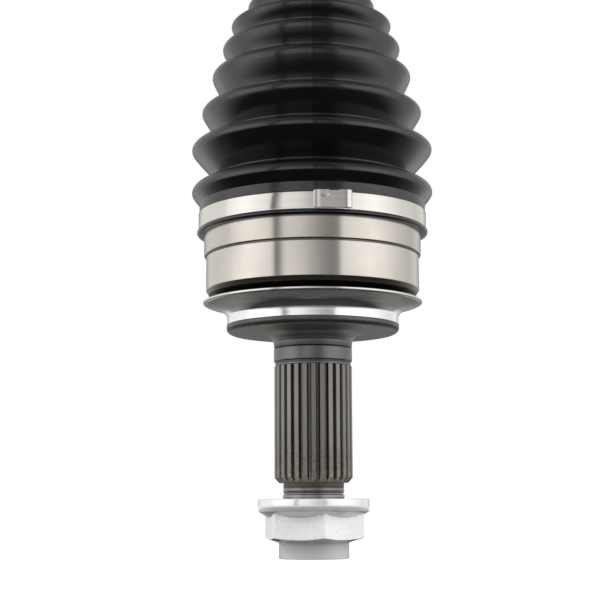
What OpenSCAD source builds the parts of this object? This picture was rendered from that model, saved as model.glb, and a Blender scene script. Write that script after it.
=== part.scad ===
// Front drive shaft of a car: a ball joint at the wheel end, a solid bar, and a
// plunging tripod joint at the gearbox end. Z runs along the shaft towards the
// gearbox. The origin is on the axis at the top of the hub pilot collar.

/* [Hub stub] */
// Diameter of the pilot collar that centres the wheel hub
pilot_d = 31.3; // [31.1:0.1:36]
// Height of the pilot collar
pilot_h = 4.8; // [3:0.1:10]
// Height of the plain neck between the pilot collar and the shoulder face
neck_h = 6.4; // [6:0.1:12]
// Radius of the fillet between the neck and the shoulder face
neck_fillet = 5; // [2:0.1:5.8]
// Height of the undercut below the pilot collar
undercut_h = 1.3; // [0.8:0.1:3]
// Teeth of the hub spline
hub_teeth = 28; // [20:1:36]
// Outside diameter of the hub spline
hub_spline_d = 31; // [27:0.1:31]
// Length of the hub spline, with its tapered end
hub_spline_l = 46.9; // [30:0.1:60]
// Depth of the spline's teeth
spline_depth = 1.4; // [0.8:0.1:1.6]
// Outside diameter of the thread for the axle nut
thread_d = 24; // [20:0.5:26]
// Pitch of that thread
thread_pitch = 1.5; // [1:0.25:2]
// Length of that thread
thread_l = 22; // [21:0.5:30]
// Height of the plain neck between the spline and the thread
thread_neck_h = 6.1; // [3:0.1:10]

/* [Axle nut] */
// Width of the hexagon across its flats
nut_flats = 36; // [32:0.5:38]
// Height of the hexagon
nut_hex_h = 11.3; // [8:0.1:16]
// Diameter of the nut's flange
nut_flange_d = 43.9; // [40:0.1:52]
// Thickness of the nut's flange
nut_flange_h = 4.5; // [2.5:0.1:8]
// Diameter of the thin collar that is staked into the thread
nut_collar_d = 28.1; // [27.5:0.1:31]
// Height of that collar
nut_collar_h = 7.6; // [4:0.1:12]

/* [Outer joint] */
// Diameter of the ground band round the race
race_d = 85.8; // [84:0.1:90]
// Diameter of the race under the boot
boot_seat_d = 87.6; // [86.5:0.1:92]
// Height of the joint's centre above the shoulder face
bell_depth = 33.5; // [32.5:0.1:38]
// Height of the race's mouth above the joint's centre
bell_mouth_h = 17; // [16.5:0.1:18]
// Height of the ground band's lower edge above the shoulder face
band_low_h = 17.2; // [16:0.1:20]
// Height of the step line above the shoulder face
step_h = 30.7; // [26:0.1:32]
// Diameter of the shoulder rim
rim_d = 69.2; // [66:0.1:72]
// Diameter of each ball
ball_d = 15.88; // [14:0.02:16.2]
// Radius of the circle through the balls' centres
ball_pitch_r = 29.5; // [29:0.1:30]
// Radius of the spherical cavity in the race
cavity_r = 35; // [34.6:0.1:35.4]
// Radius of the ball that the inner race is turned to
inner_race_r = 28.3; // [27:0.1:28.6]
// Height of the inner race
inner_race_h = 25; // [22:0.5:26]
// Height of the cage
cage_h = 27; // [24:0.5:28]
// Width of each window in the cage
window_w = 18; // [17:0.1:20]
// Room at each side of a ball in its track, for its creep at full angle
track_side = 1.8; // [1.4:0.1:2]

/* [Dust slinger] */
// Diameter of the slinger's seat on the race
slinger_seat_d = 66.4; // [64:0.1:68]
// Height of the slinger's lower edge above the shoulder face
slinger_low_h = 3.2; // [2.5:0.1:4]
// Height of the band that grips the race, with its bend
slinger_band_h = 8.2; // [7:0.1:9]
// Thickness of the slinger's sheet
slinger_t = 1; // [0.8:0.1:1.5]
// Width of the slinger's flange, from its seat out
slinger_flange_w = 10.8; // [9:0.1:12]
// Rise of the flange from its bend to its rim
slinger_rise = 1.4; // [0.5:0.1:1.8]

/* [Outer boot] */
// Thickness of the boots' wall
boot_wall = 1.8; // [1.2:0.1:2.4]
// Thickness of the boots under their bands
band_seat_t = 1.3; // [1:0.1:1.6]
// Height of the boot's rim below its band
boot_bead_h = 1.8; // [1.6:0.1:6]
// How far the boot's rim stands out from the race
boot_bead_t = 3.2; // [2.4:0.1:4.4]
// Height of the boot's cuff on the bar
boot_cuff_h = 18; // [15:0.5:24]
// Diameter of the boot's cuff
boot_cuff_d = 31; // [30:0.1:34]

/* [Bar] */
// Distance between the centres of the two joints
joint_span = 346; // [330:1:700]
// Diameter of the bar
bar_d = 25; // [24.6:0.1:25.4]
// Teeth of the splines at the bar's two ends
bar_teeth = 26; // [20:1:32]
// Outside diameter of those splines
bar_spline_d = 24.2; // [22:0.1:24.4]

/* [Inner joint] */
// Radius of the circle through the rollers' centres
roller_pitch_r = 24; // [23.5:0.1:24.4]
// Diameter of each roller
roller_d = 33; // [31:0.1:33.4]
// Width of each roller
roller_w = 12; // [11:0.1:12.2]
// Diameter of the bore in each roller
roller_bore_d = 21.9; // [21.8:0.01:22]
// Diameter of each trunnion
trunnion_d = 17; // [16:0.01:17]
// Diameter of each needle
needle_d = 2.26; // [2:0.01:2.26]
// Needles in each roller
needle_count = 26; // [16:1:26]
// Diameter of the spider's hub
spider_d = 35.6; // [33:0.1:35.8]
// Height of the spider's hub
spider_h = 22; // [20:0.5:23]
// Room between a roller and its track
roller_room = 0.65; // [0.6:0.05:0.9]
// Diameter over the housing's three lobes
lobe_d = 76; // [75:0.1:80]
// Diameter over the hollows between the lobes
hollow_d = 64; // [62:0.1:66]
// Depth of the housing's mouth below the joint's centre
housing_mouth_h = 33; // [32:0.5:36]
// Height of the housing's end wall above the joint's centre
housing_floor_h = 43; // [43:0.5:50]
// Thickness of the housing's end wall
housing_end_t = 7; // [5:0.5:12]

/* [Gearbox stub] */
// Diameter of the journal that the gearbox's oil seal runs on
journal_d = 38; // [34:0.1:40]
// Length of that journal
journal_l = 16; // [12:0.5:25]
// Height of the collar between the housing and the journal
stub_collar_h = 5; // [3:0.5:10]
// Diameter of that collar
stub_collar_d = 46; // [42:0.1:50]
// Teeth of the gearbox spline
gearbox_teeth = 25; // [20:1:32]
// Outside diameter of the gearbox spline
gearbox_spline_d = 27.8; // [25:0.1:30]
// Length of the gearbox spline
gearbox_spline_l = 43; // [30:0.5:60]

/* [Inner boot] */
// Diameter of the round sleeve that fills the housing's hollows
bushing_d = 80.4; // [80:0.1:84]
// Height of that sleeve
bushing_h = 18; // [16:0.5:22]
// Height of the inner boot's cuff on the bar
inner_cuff_h = 18; // [15:0.5:24]

/* [Clamps] */
// Width of the two large bands
large_band_w = 6.8; // [5:0.1:7.2]
// Width of the two small bands
small_band_w = 6.4; // [5:0.1:8]
// Thickness of the bands
band_t = 0.8; // [0.5:0.05:1]

/* [Fits] */
// Radial play of a part that is held still
press_gap = 0.05; // [0.02:0.01:0.1]
// Radial play between parts that move on each other
run_gap = 0.3; // [0.25:0.01:0.35]
// Play between a ball and the long sides of its window
window_gap = 0.16; // [0.1:0.01:0.3]

/* [Hidden] */
$fn = 96;

// Heights along the axis
shoulder_z = neck_h;
outer_z = shoulder_z + bell_depth;
mouth_z = outer_z + bell_mouth_h;
inner_z = outer_z + joint_span;
spline_top_z = -pilot_h - undercut_h;
spline_end_z = spline_top_z - hub_spline_l;
thread_top_z = spline_end_z - thread_neck_h;
thread_end_z = thread_top_z - thread_l;

// Outline of the hub stub
pilot_r = pilot_d / 2;
undercut_r = pilot_r - 0.55;
neck_r = pilot_r - 0.05;
hub_root_r = hub_spline_d / 2 - spline_depth;
thread_r = thread_d / 2;
thread_depth = 0.6 * thread_pitch;
thread_turns = floor((thread_l - 2) / thread_pitch);
thread_flare = 0.2;
taper_h = 2.6;
stake_slot_w = 5;
hub_tip_share = 0.25;
hub_root_share = 0.39;

// Height in the neck between thread and spline, as a share of it from the thread up
function neck_at(share) = thread_top_z + share * thread_neck_h;

// Outline of the race
rim_r = rim_d / 2;
rim_round = 2;
race_r = race_d / 2;
seat_r = boot_seat_d / 2;
waist_r = slinger_seat_d / 2;
waist_top_z = shoulder_z + slinger_low_h + slinger_band_h;
band_low_z = shoulder_z + band_low_h;
step_z = shoulder_z + step_h;
step_groove_h = 0.4;
step_groove_d = 0.2;
floor_below_centre = 27;
mouth_chamfer_h = 4.5;
track_r = ball_d / 2 + run_gap;
track_low_angle = 36;
track_high_angle = 64;

// Outer boot, from the band seat up. Each fold is [radius, height] as shares of the way
// from the cuff out to the race and from the band up to the neck. Each valley is its
// radius in the same shares, and its height as a share of the way between two crests
boot_bore_r = seat_r + 2 * press_gap;
boot_bead_r = seat_r + boot_bead_t;
band_seat_r = boot_bore_r + band_seat_t;
band_below_mouth = 8.8;
boot_band_z = mouth_z - band_below_mouth;
boot_low_z = boot_band_z - boot_bead_h;
boot_land_r = band_seat_r + 0.3;
boot_land_z = boot_band_z + large_band_w + 3.9;
boot_folds_h = 98.8;
boot_folds = [
    [1.184, 0.15], [1.193, 0.329], [1.042, 0.488], [0.894, 0.642], [0.746, 0.764],
    [0.622, 0.867], [0.385, 0.948]
];
boot_valleys = [
    [0.848, 0.37], [0.807, 0.43], [0.703, 0.37], [0.59, 0.52], [0.477, 0.52], [0.307, 0.5]
];
boot_cuff_z = boot_band_z + boot_folds_h + 2;
cuff_bore_r = bar_d / 2 + press_gap;
cuff_r = boot_cuff_d / 2;

// Inner boot, from the housing's mouth down, in the same shares of its own widths
bushing_r = bushing_d / 2;
housing_mouth_z = inner_z - housing_mouth_h;
inner_bore_r = bushing_r + press_gap;
inner_seat_r = inner_bore_r + band_seat_t;
inner_bead_r = inner_seat_r + 0.9;
band_above_mouth = 6;
inner_band_z = housing_mouth_z + band_above_mouth;
inner_folds_h = 69;
inner_folds = [
    [1.178, 0.109], [1.13, 0.297], [0.943, 0.478], [0.757, 0.645], [0.571, 0.794],
    [0.385, 0.922]
];
inner_valleys = [[0.83, 0.4], [0.733, 0.4], [0.587, 0.4], [0.441, 0.4], [0.275, 0.4]];
inner_cuff_z = housing_mouth_z - inner_folds_h - 2;

// Bar and its joints' insides
bar_r = bar_d / 2;
bar_spline_r = bar_spline_d / 2;
bar_root_r = bar_spline_r - 0.8;
bar_low_z = outer_z - inner_race_h / 2 - 4.5;
bar_high_z = inner_z + spider_h / 2 + 4;
circlip_wire_r = 0.9;
circlip_z = outer_z - inner_race_h / 2 - circlip_wire_r - 0.1;
snap_t = 1.5;
snap_depth = 1.1;
snap_gap = 0.1;
spider_r = spider_d / 2;
trunnion_r = trunnion_d / 2;
roller_face = roller_pitch_r + roller_w / 2;
retainer_t = 1;
retainer_low = roller_face + 0.15;
trunnion_end = retainer_low + retainer_t + 0.6;
needle_pitch_r = (roller_bore_d / 2 + trunnion_r) / 2 + 0.02;

// Inner housing
lobe_r = lobe_d / 2;
hollow_r = hollow_d / 2;
lane_r = roller_d / 2 + roller_room;
roller_corner_r = norm([roller_face, sqrt(pow(roller_d / 2, 2) - pow(roller_w / 2, 2))]);
lane_end_room = 0.9;
lane_end_r = max(roller_corner_r, trunnion_end) + lane_end_room;
lobe_wall = 4.4;
bore_r = spider_r + 3;
mouth_bore_r = hollow_r - 4.4;
housing_end_z = inner_z + housing_floor_h + housing_end_t;
stub_z = housing_end_z + stub_collar_h;
journal_top_z = stub_z + journal_l;
gearbox_spline_z = journal_top_z + 3;
gearbox_tip_z = gearbox_spline_z + gearbox_spline_l;
gearbox_root_r = gearbox_spline_d / 2 - 1.1;
gearbox_clip_z = gearbox_tip_z - 4;
hollow_end_z = inner_z + housing_floor_h - 6;

// Latch of a boot band: where it sits round the band, its length, how far its lip stands
// over the band's upper edge, how far its smaller plates stop short of the larger ones,
// how high it sits over the band, and the radius of its fold
latch_angle = -81.2;
latch_l = 14.1;
latch_side = 0.8;
latch_inset = 0.3;
latch_lift = 0.3;
latch_bend_r = 0.75;

// Small amount by which a cutter runs past the face it cuts
over = 0.5;

// Splines

// Outline of a splined shaft with flat-sided teeth. The shares are half the tooth's width
// at its tip and at its root, as parts of the pitch
function spline_outline(teeth, root_r, tip_r, tip_share = 0.15, root_share = 0.36) =
    let (pitch = 360 / teeth)
    [
        for (i = [0 : teeth - 1])
            for (
                p = [
                    [-root_share, root_r], [-tip_share, tip_r], [tip_share, tip_r],
                    [root_share, root_r]
                ]
            )
                p[1] * [cos((i + p[0]) * pitch), sin((i + p[0]) * pitch)]
    ];

// Toothed rod from z0 to z1, its teeth tapered at the ends by the given heights
module spline_rod(
    teeth, root_r, tip_r, z0, z1, taper_low, taper_high, tip_share = 0.15, root_share = 0.36
) {
    reach = tip_r + over;
    low = root_r - 0.4;
    intersection() {
        translate([0, 0, z0])
            linear_extrude(z1 - z0)
                polygon(spline_outline(teeth, root_r, tip_r, tip_share, root_share));
        rotate_extrude()
            polygon([
                [0, z0], [low, z0], [reach, z0 + taper_low], [reach, z1 - taper_high],
                [low, z1], [0, z1]
            ]);
    }
}

// Cutter for the hole that such a rod slides into
module spline_hole(teeth, root_r, tip_r, z0, z1) {
    translate([0, 0, z0])
        linear_extrude(z1 - z0)
            polygon(spline_outline(teeth, root_r + press_gap, tip_r + press_gap));
}

// Rings and wires

// Open wire ring round the axis, its gap facing +X
module wire_ring(ring_r, wire_r, z, gap_angle) {
    translate([0, 0, z])
        rotate([0, 0, gap_angle / 2])
            rotate_extrude(angle = 360 - gap_angle)
                translate([ring_r, 0])
                    circle(r = wire_r, $fn = 24);
}

// Open flat snap ring round the axis
module flat_ring(inner_r, outer_r, z, t, gap_angle) {
    translate([0, 0, z])
        rotate([0, 0, gap_angle / 2])
            rotate_extrude(angle = 360 - gap_angle)
                translate([inner_r, 0])
                    square([outer_r - inner_r, t]);
}

// Plate bent round the axis, from angle a0 to a1
module bent_plate(inner_r, t, z, w, a0, a1) {
    translate([0, 0, z])
        rotate([0, 0, a0])
            rotate_extrude(angle = a1 - a0)
                translate([inner_r, 0])
                    square([t, w]);
}

// Outline in plan of a latch: a plate round the axis that ends in a rolled fold
function latch_outline(plate_r, arc) =
    let (
        steps = 8,
        fold_x = plate_r + latch_bend_r,
        meet = acos((band_t - latch_bend_r) / latch_bend_r),
        back = latch_bend_r * sin(meet) / plate_r * 180 / PI
    )
    [
        for (i = [0 : steps])
            let (a = arc * i / steps)
            plate_r * [cos(a), sin(a)],
        for (i = [1 : steps])
            let (
                t = 180 - (180 + meet) * i / steps,
                x = fold_x + latch_bend_r * cos(t),
                y = latch_bend_r * sin(t)
            )
            [x * cos(arc) - y * sin(arc), x * sin(arc) + y * cos(arc)],
        for (i = [1 : steps])
            let (a = (arc - back) * (1 - i / steps))
            (plate_r + band_t) * [cos(a), sin(a)]
    ];

// Low-profile boot band: a hoop, its overlapping tail and the folded latch over it, which
// has a lip over the band's upper edge
module boot_band(seat_r, z, w, angle) {
    hoop_r = seat_r + press_gap;
    tail_r = hoop_r + band_t;
    ear_r = tail_r + latch_lift;
    arc = latch_l / tail_r * 180 / PI;
    translate([0, 0, z])
        difference() {
            cylinder(r = tail_r, h = w);
            translate([0, 0, -over])
                cylinder(r = hoop_r, h = w + 2 * over);
        }
    rotate([0, 0, angle]) {
        bent_plate(
            tail_r - band_t / 2, ear_r - tail_r + band_t * 0.75, z + latch_inset,
            w - 2 * latch_inset, -arc * 0.75, arc * 0.6
        );
        translate([0, 0, z + latch_inset / 2])
            rotate([0, 0, -arc / 2])
                linear_extrude(w + latch_side - latch_inset / 2)
                    polygon(latch_outline(ear_r, arc * 0.94));
    }
}

// Boots

// Steepness of a fold's two flanks where they leave the valleys: 1 is a straight cone and
// 2 a round shoulder. The flank towards the wide end is the straighter one
wide_flank = 1.35;
narrow_flank = 1.9;

// How far out a flank is at a share u of the way from its valley to the crest
function flank(u, power) = 1 - pow(1 - u, power);

// Points over one bellows fold, from valley a over the crest to the narrower valley b
function fold_points(a, crest, b, steps) = [
    for (i = [0 : steps])
        let (u = sin(90 * i / steps))
        [
            a[0] + (crest[0] - a[0]) * flank(u, wide_flank),
            a[1] + (crest[1] - a[1]) * u
        ],
    for (i = [steps - 1 : -1 : 0])
        let (u = sin(90 * i / steps))
        [
            b[0] + (crest[0] - b[0]) * flank(u, narrow_flank),
            b[1] + (crest[1] - b[1]) * u
        ]
];

// Crests as [radius, height], from their shares. z is where the folds begin, and h is
// their height, negative where they run down
function crests_at(folds, wide_r, z, h) = [
    for (fold = folds) [cuff_r + (wide_r - cuff_r) * fold[0], z + h * fold[1]]
];

// Valley between two crests
function valley(crests, shares, wide_r, i) = [
    cuff_r + (wide_r - cuff_r) * shares[i][0],
    crests[i][1] + (crests[i + 1][1] - crests[i][1]) * shares[i][1]
];

// Outline of a row of folds between a start and an end point, drawn in by a wall
function bellows(start, crests, shares, wide_r, end, wall, steps) =
    let (last = len(crests) - 1)
    [
        for (i = [0 : last])
            let (
                a = i == 0 ? start : valley(crests, shares, wide_r, i - 1),
                b = i == last ? end : valley(crests, shares, wide_r, i),
                lean = b[1] > a[1] ? 1 : -1,
                inset = lean * wall * 0.8
            )
            each fold_points(
                [a[0] - wall * 0.7, a[1] + inset],
                [crests[i][0] - wall, crests[i][1]],
                [b[0] - wall * 0.7, b[1] - inset],
                steps
            )
    ];

// Main pieces of the wheel side

module thread_cutters() {
    for (i = [0 : thread_turns - 1])
        translate([0, 0, thread_end_z + 1.2 + i * thread_pitch])
            rotate_extrude()
                polygon([
                    [thread_r - thread_depth, 0.5 * thread_pitch],
                    [thread_r + 0.2, 0.06 * thread_pitch],
                    [thread_r + 0.2, 0.94 * thread_pitch]
                ]);
}

module ball_tracks(low_angle, high_angle) {
    for (i = [0 : 5])
        rotate([0, 0, 60 * i])
            rotate([90, 0, 0])
                rotate([0, 0, -low_angle])
                    rotate_extrude(angle = low_angle + high_angle)
                        translate([ball_pitch_r, 0]) {
                            for (side = [-1, 1])
                                translate([0, side * track_side])
                                    circle(r = track_r, $fn = 64);
                            square([2 * track_r, 2 * track_side], center = true);
                        }
}

module race_cavity() {
    translate([0, 0, outer_z]) {
        intersection() {
            sphere(r = cavity_r);
            translate([0, 0, -floor_below_centre])
                cylinder(r = cavity_r + 1, h = floor_below_centre + bell_mouth_h + 1);
        }
        translate([0, 0, bell_mouth_h - mouth_chamfer_h])
            cylinder(r1 = cavity_r - 2.3, r2 = cavity_r + 0.6, h = mouth_chamfer_h + 0.01);
        ball_tracks(track_low_angle, track_high_angle);
    }
}

module outer_race() {
    fillet_r = neck_r + neck_fillet;
    color("#8c8a86")
        difference() {
            union() {
                rotate_extrude()
                    polygon([
                        [0, thread_end_z], [thread_r - 1, thread_end_z],
                        [thread_r, thread_end_z + 1], [thread_r, neck_at(0.03)],
                        [thread_r + thread_flare, neck_at(0.07)],
                        [thread_r + thread_flare, neck_at(0.2)],
                        [thread_r - 0.3, neck_at(0.26)], [thread_r - 0.3, neck_at(0.31)],
                        [thread_r, neck_at(0.36)], [thread_r, spline_end_z + 0.4],
                        [hub_root_r - 0.4, spline_end_z + 0.4],
                        [hub_root_r - 0.4, spline_top_z - over],
                        [undercut_r, spline_top_z - over], [undercut_r, -pilot_h - 0.4],
                        [pilot_r, -pilot_h], [pilot_r, 0], [pilot_r - 0.3, 0.3],
                        [neck_r, 0.6],
                        for (a = [0 : 15 : 90])
                            [
                                fillet_r - neck_fillet * cos(a),
                                shoulder_z - neck_fillet + neck_fillet * sin(a)
                            ],
                        for (a = [0 : 15 : 90])
                            [
                                rim_r - rim_round + rim_round * sin(a),
                                shoulder_z + rim_round - rim_round * cos(a)
                            ],
                        [rim_r, shoulder_z + slinger_low_h],
                        [waist_r, shoulder_z + slinger_low_h], [waist_r, waist_top_z - 0.8],
                        [waist_r + 0.8, waist_top_z - 0.2], [race_r - 5, band_low_z - 3.6],
                        [race_r - 1.1, band_low_z - 1.8], [race_r, band_low_z],
                        [race_r, step_z - step_groove_d],
                        [race_r - step_groove_d, step_z],
                        [race_r - step_groove_d, step_z + step_groove_h],
                        [seat_r - 0.3, step_z + step_groove_h],
                        [seat_r, step_z + step_groove_h + 0.4], [seat_r, mouth_z - 1],
                        [seat_r - 1, mouth_z], [0, mouth_z]
                    ]);
                spline_rod(
                    hub_teeth, hub_root_r, hub_spline_d / 2, spline_end_z, spline_top_z,
                    taper_h, 1, hub_tip_share, hub_root_share
                );
            }
            race_cavity();
            thread_cutters();
            translate([thread_r - 1.2, -stake_slot_w / 2, thread_end_z - over])
                cube([3, stake_slot_w, nut_collar_h + over]);
            translate([0, 0, thread_end_z - 0.01])
                cylinder(r1 = 4, r2 = 0, h = 4);
        }
}

module dust_slinger() {
    bend_r = 5.5;
    low_z = shoulder_z + slinger_low_h;
    band_r = waist_r + press_gap;
    outer_r = band_r + slinger_t;
    rim_outer_r = waist_r + slinger_flange_w;
    bend_z = low_z + slinger_band_h - bend_r - slinger_t;
    flange_z = bend_z + bend_r;
    color("#9c9a94")
        rotate_extrude()
            polygon([
                [band_r, low_z], [outer_r - 0.2, low_z], [outer_r, low_z + 0.2],
                for (a = [0 : 15 : 90])
                    [outer_r + bend_r - bend_r * cos(a), bend_z + bend_r * sin(a)],
                [rim_outer_r - 2.4, flange_z + slinger_rise - 0.35],
                [rim_outer_r - 2.2, flange_z + slinger_rise - 0.05],
                for (a = [-90 : 30 : 90])
                    [
                        rim_outer_r - slinger_t / 2 + slinger_t / 2 * cos(a),
                        flange_z + slinger_rise + slinger_t / 2 + slinger_t / 2 * sin(a)
                    ],
                for (a = [90 : -15 : 0])
                    [
                        outer_r + bend_r - (bend_r + slinger_t) * cos(a),
                        bend_z + (bend_r + slinger_t) * sin(a)
                    ]
            ]);
}

module axle_nut() {
    seat_z = thread_top_z;
    flange_z = seat_z - nut_flange_h;
    hex_z = flange_z - nut_hex_h;
    collar_z = hex_z - nut_collar_h;
    corner_r = nut_flats / 2 / cos(30);
    flange_r = nut_flange_d / 2;
    flats_r = nut_flats / 2;
    collar_r = nut_collar_d / 2;
    bore_r = thread_r + 2 * press_gap;
    color("#c9c8c4")
        difference() {
            union() {
                rotate_extrude()
                    polygon([
                        [0, seat_z], [flange_r - 0.6, seat_z], [flange_r, seat_z - 0.6],
                        [flange_r, flange_z + 0.9], [flange_r - 0.3, flange_z + 0.35],
                        [flange_r - 1, flange_z], [flats_r - 0.6, flange_z - 1.2],
                        [0, flange_z - 1.2]
                    ]);
                intersection() {
                    translate([0, 0, hex_z])
                        rotate([0, 0, -79.4])
                            cylinder(r = corner_r, h = nut_hex_h + 1, $fn = 6);
                    rotate_extrude()
                        polygon([
                            [0, hex_z], [flats_r - 0.5, hex_z], [corner_r + 0.1, hex_z + 1.9],
                            [corner_r + 0.1, flange_z - 1.8], [flats_r - 0.5, flange_z - 0.2],
                            [0, flange_z - 0.2]
                        ]);
                }
                rotate_extrude()
                    polygon([
                        [0, collar_z], [collar_r - 0.5, collar_z], [collar_r, collar_z + 0.5],
                        [collar_r, hex_z - 0.8], [collar_r + 0.8, hex_z], [0, hex_z + over]
                    ]);
            }
            translate([0, 0, collar_z - over])
                cylinder(r = bore_r, h = seat_z - collar_z + 2 * over);
            translate([0, 0, seat_z - 1.2])
                cylinder(r1 = bore_r, r2 = bore_r + 1.3, h = 1.3);
            translate([0, 0, collar_z - 0.01])
                cylinder(r1 = bore_r + 0.8, r2 = bore_r, h = 0.8);
        }
}

module outer_boot() {
    start = [boot_land_r, boot_land_z];
    end = [cuff_r + 1.5, boot_band_z + boot_folds_h];
    crests = crests_at(boot_folds, seat_r, boot_band_z, boot_folds_h);
    cuff_top = boot_cuff_z + boot_cuff_h;
    cuff_band_z = boot_cuff_z + 4;
    inside = bellows(start, crests, boot_valleys, seat_r, end, boot_wall, 5);
    last = len(inside) - 1;
    color("#1b1b1c")
        rotate_extrude()
            polygon([
                [boot_bore_r, boot_low_z + 0.6], [boot_bore_r + 0.6, boot_low_z],
                [boot_bead_r - 1, boot_low_z],
                [boot_bead_r, boot_low_z + 0.4 * boot_bead_h],
                [boot_bead_r, boot_band_z - 0.4 * boot_bead_h],
                [boot_bead_r - 0.8, boot_band_z], [band_seat_r, boot_band_z],
                [band_seat_r, boot_band_z + large_band_w],
                [boot_land_r, boot_band_z + large_band_w],
                each bellows(start, crests, boot_valleys, seat_r, end, 0, 7),
                [cuff_r, boot_cuff_z], [cuff_r, cuff_band_z], [cuff_r - 0.5, cuff_band_z],
                [cuff_r - 0.5, cuff_band_z + small_band_w],
                [cuff_r, cuff_band_z + small_band_w], [cuff_r, cuff_top - 0.6],
                [cuff_r - 0.6, cuff_top], [cuff_bore_r, cuff_top],
                [cuff_bore_r, boot_cuff_z],
                for (i = [last : -1 : 0]) inside[i],
                [boot_bore_r, mouth_z + 1]
            ]);
}

module outer_boot_large_clamp() {
    color("#b9b6b0")
        boot_band(band_seat_r, boot_band_z, large_band_w, latch_angle);
}

module outer_boot_small_clamp() {
    color("#b9b6b0")
        boot_band(cuff_r - 0.5, boot_cuff_z + 4, small_band_w, -40);
}

// Inside of the ball joint

module ball(i) {
    color("#d9d9d7")
        translate([0, 0, outer_z])
            rotate([0, 0, 60 * (i - 1)])
                translate([ball_pitch_r, 0, 0])
                    sphere(d = ball_d);
}

module outer_cage() {
    window_h = ball_d + 2 * window_gap;
    color("#77746f")
        translate([0, 0, outer_z])
            difference() {
                intersection() {
                    sphere(r = cavity_r - run_gap);
                    translate([0, 0, -cage_h / 2])
                        cylinder(r = cavity_r, h = cage_h);
                }
                sphere(r = inner_race_r + run_gap);
                for (i = [0 : 5])
                    rotate([0, 0, 60 * i])
                        translate([inner_race_r / 2, -window_w / 2, -window_h / 2])
                            cube([cavity_r, window_w, window_h]);
            }
}

module inner_race() {
    color("#8f8d88")
        translate([0, 0, outer_z])
            difference() {
                intersection() {
                    sphere(r = inner_race_r);
                    translate([0, 0, -inner_race_h / 2])
                        cylinder(r = inner_race_r + 1, h = inner_race_h);
                }
                ball_tracks(track_high_angle, track_high_angle);
                spline_hole(
                    bar_teeth, bar_root_r, bar_spline_r, -inner_race_h / 2 - over,
                    inner_race_h / 2 + over
                );
            }
}

module bar_circlip() {
    color("#3c3c3e")
        wire_ring(bar_spline_r - 0.5, circlip_wire_r, circlip_z, 24);
}

// Bar

module snap_groove(z) {
    translate([0, 0, z])
        difference() {
            cylinder(r = bar_r + 1, h = snap_t + snap_gap);
            translate([0, 0, -over])
                cylinder(r = bar_spline_r - snap_depth, h = snap_t + 3 * over);
        }
}

module axle_bar() {
    low_shoulder = outer_z + inner_race_h / 2 + 1;
    high_shoulder = inner_z - spider_h / 2 - snap_t - 2;
    neck = bar_root_r - 0.3;
    color("#4a4846")
        difference() {
            union() {
                rotate_extrude()
                    polygon([
                        [0, bar_low_z], [neck - 1, bar_low_z], [neck, bar_low_z + 1],
                        [neck, low_shoulder], [bar_r - 0.8, low_shoulder],
                        [bar_r, low_shoulder + 0.8],
                        for (z = [boot_cuff_z + 5.5, inner_cuff_z - 12])
                            each [
                                [bar_r, z], [bar_r - 0.6, z + 0.6], [bar_r - 0.6, z + 2.4],
                                [bar_r, z + 3]
                            ],
                        [bar_r, high_shoulder - 0.8], [bar_r - 0.8, high_shoulder],
                        [neck, high_shoulder], [neck, bar_high_z - 1], [neck - 1, bar_high_z],
                        [0, bar_high_z]
                    ]);
                spline_rod(
                    bar_teeth, bar_root_r, bar_spline_r, bar_low_z + 0.2,
                    low_shoulder + over, 1, 0
                );
                spline_rod(
                    bar_teeth, bar_root_r, bar_spline_r, high_shoulder - over,
                    bar_high_z - 0.2, 0, 1
                );
            }
            snap_groove(inner_z + spider_h / 2);
            snap_groove(inner_z - spider_h / 2 - snap_t - snap_gap);
            translate([0, 0, circlip_z])
                rotate_extrude()
                    translate([bar_spline_r - 0.5, 0])
                        circle(r = circlip_wire_r + press_gap, $fn = 24);
        }
}

// Inside of the tripod joint

module tripod_spider() {
    groove_r = trunnion_r - 0.6;
    color("#8a8781")
        translate([0, 0, inner_z])
            difference() {
                union() {
                    rotate_extrude()
                        polygon([
                            [0, -spider_h / 2], [spider_r - 1.5, -spider_h / 2],
                            [spider_r, 1.5 - spider_h / 2], [spider_r, spider_h / 2 - 1.5],
                            [spider_r - 1.5, spider_h / 2], [0, spider_h / 2]
                        ]);
                    for (i = [0 : 2])
                        rotate([0, 0, 90 + 120 * i])
                            rotate([0, 90, 0])
                                rotate_extrude()
                                    polygon([
                                        [0, 0], [trunnion_r, 0], [trunnion_r, retainer_low],
                                        [groove_r, retainer_low],
                                        [groove_r, retainer_low + retainer_t],
                                        [trunnion_r, retainer_low + retainer_t],
                                        [trunnion_r - 0.5, trunnion_end], [0, trunnion_end]
                                    ]);
                }
                spline_hole(
                    bar_teeth, bar_root_r, bar_spline_r, -spider_h / 2 - over,
                    spider_h / 2 + over
                );
            }
}

module spider_ring(z) {
    color("#3c3c3e")
        flat_ring(bar_spline_r - snap_depth + press_gap, bar_spline_r + 2, z, snap_t, 30);
}

// Places something round a trunnion, its local Z along the trunnion
module on_trunnion(i) {
    translate([0, 0, inner_z])
        rotate([0, 0, 90 + 120 * (i - 1)])
            rotate([0, 90, 0])
                children();
}

module roller(i) {
    color("#cfcecb")
        on_trunnion(i)
            translate([0, 0, roller_pitch_r])
                difference() {
                    intersection() {
                        sphere(d = roller_d);
                        translate([0, 0, -roller_w / 2])
                            cylinder(d = roller_d + 1, h = roller_w);
                    }
                    translate([0, 0, -roller_w])
                        cylinder(d = roller_bore_d, h = 2 * roller_w);
                }
}

module needles(i) {
    color("#d9d9d7")
        on_trunnion(i)
            for (k = [0 : needle_count - 1])
                rotate([0, 0, 360 * k / needle_count])
                    translate([needle_pitch_r, 0, roller_pitch_r - roller_w / 2 + 0.4])
                        cylinder(d = needle_d, h = roller_w - 0.6, $fn = 16);
}

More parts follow.
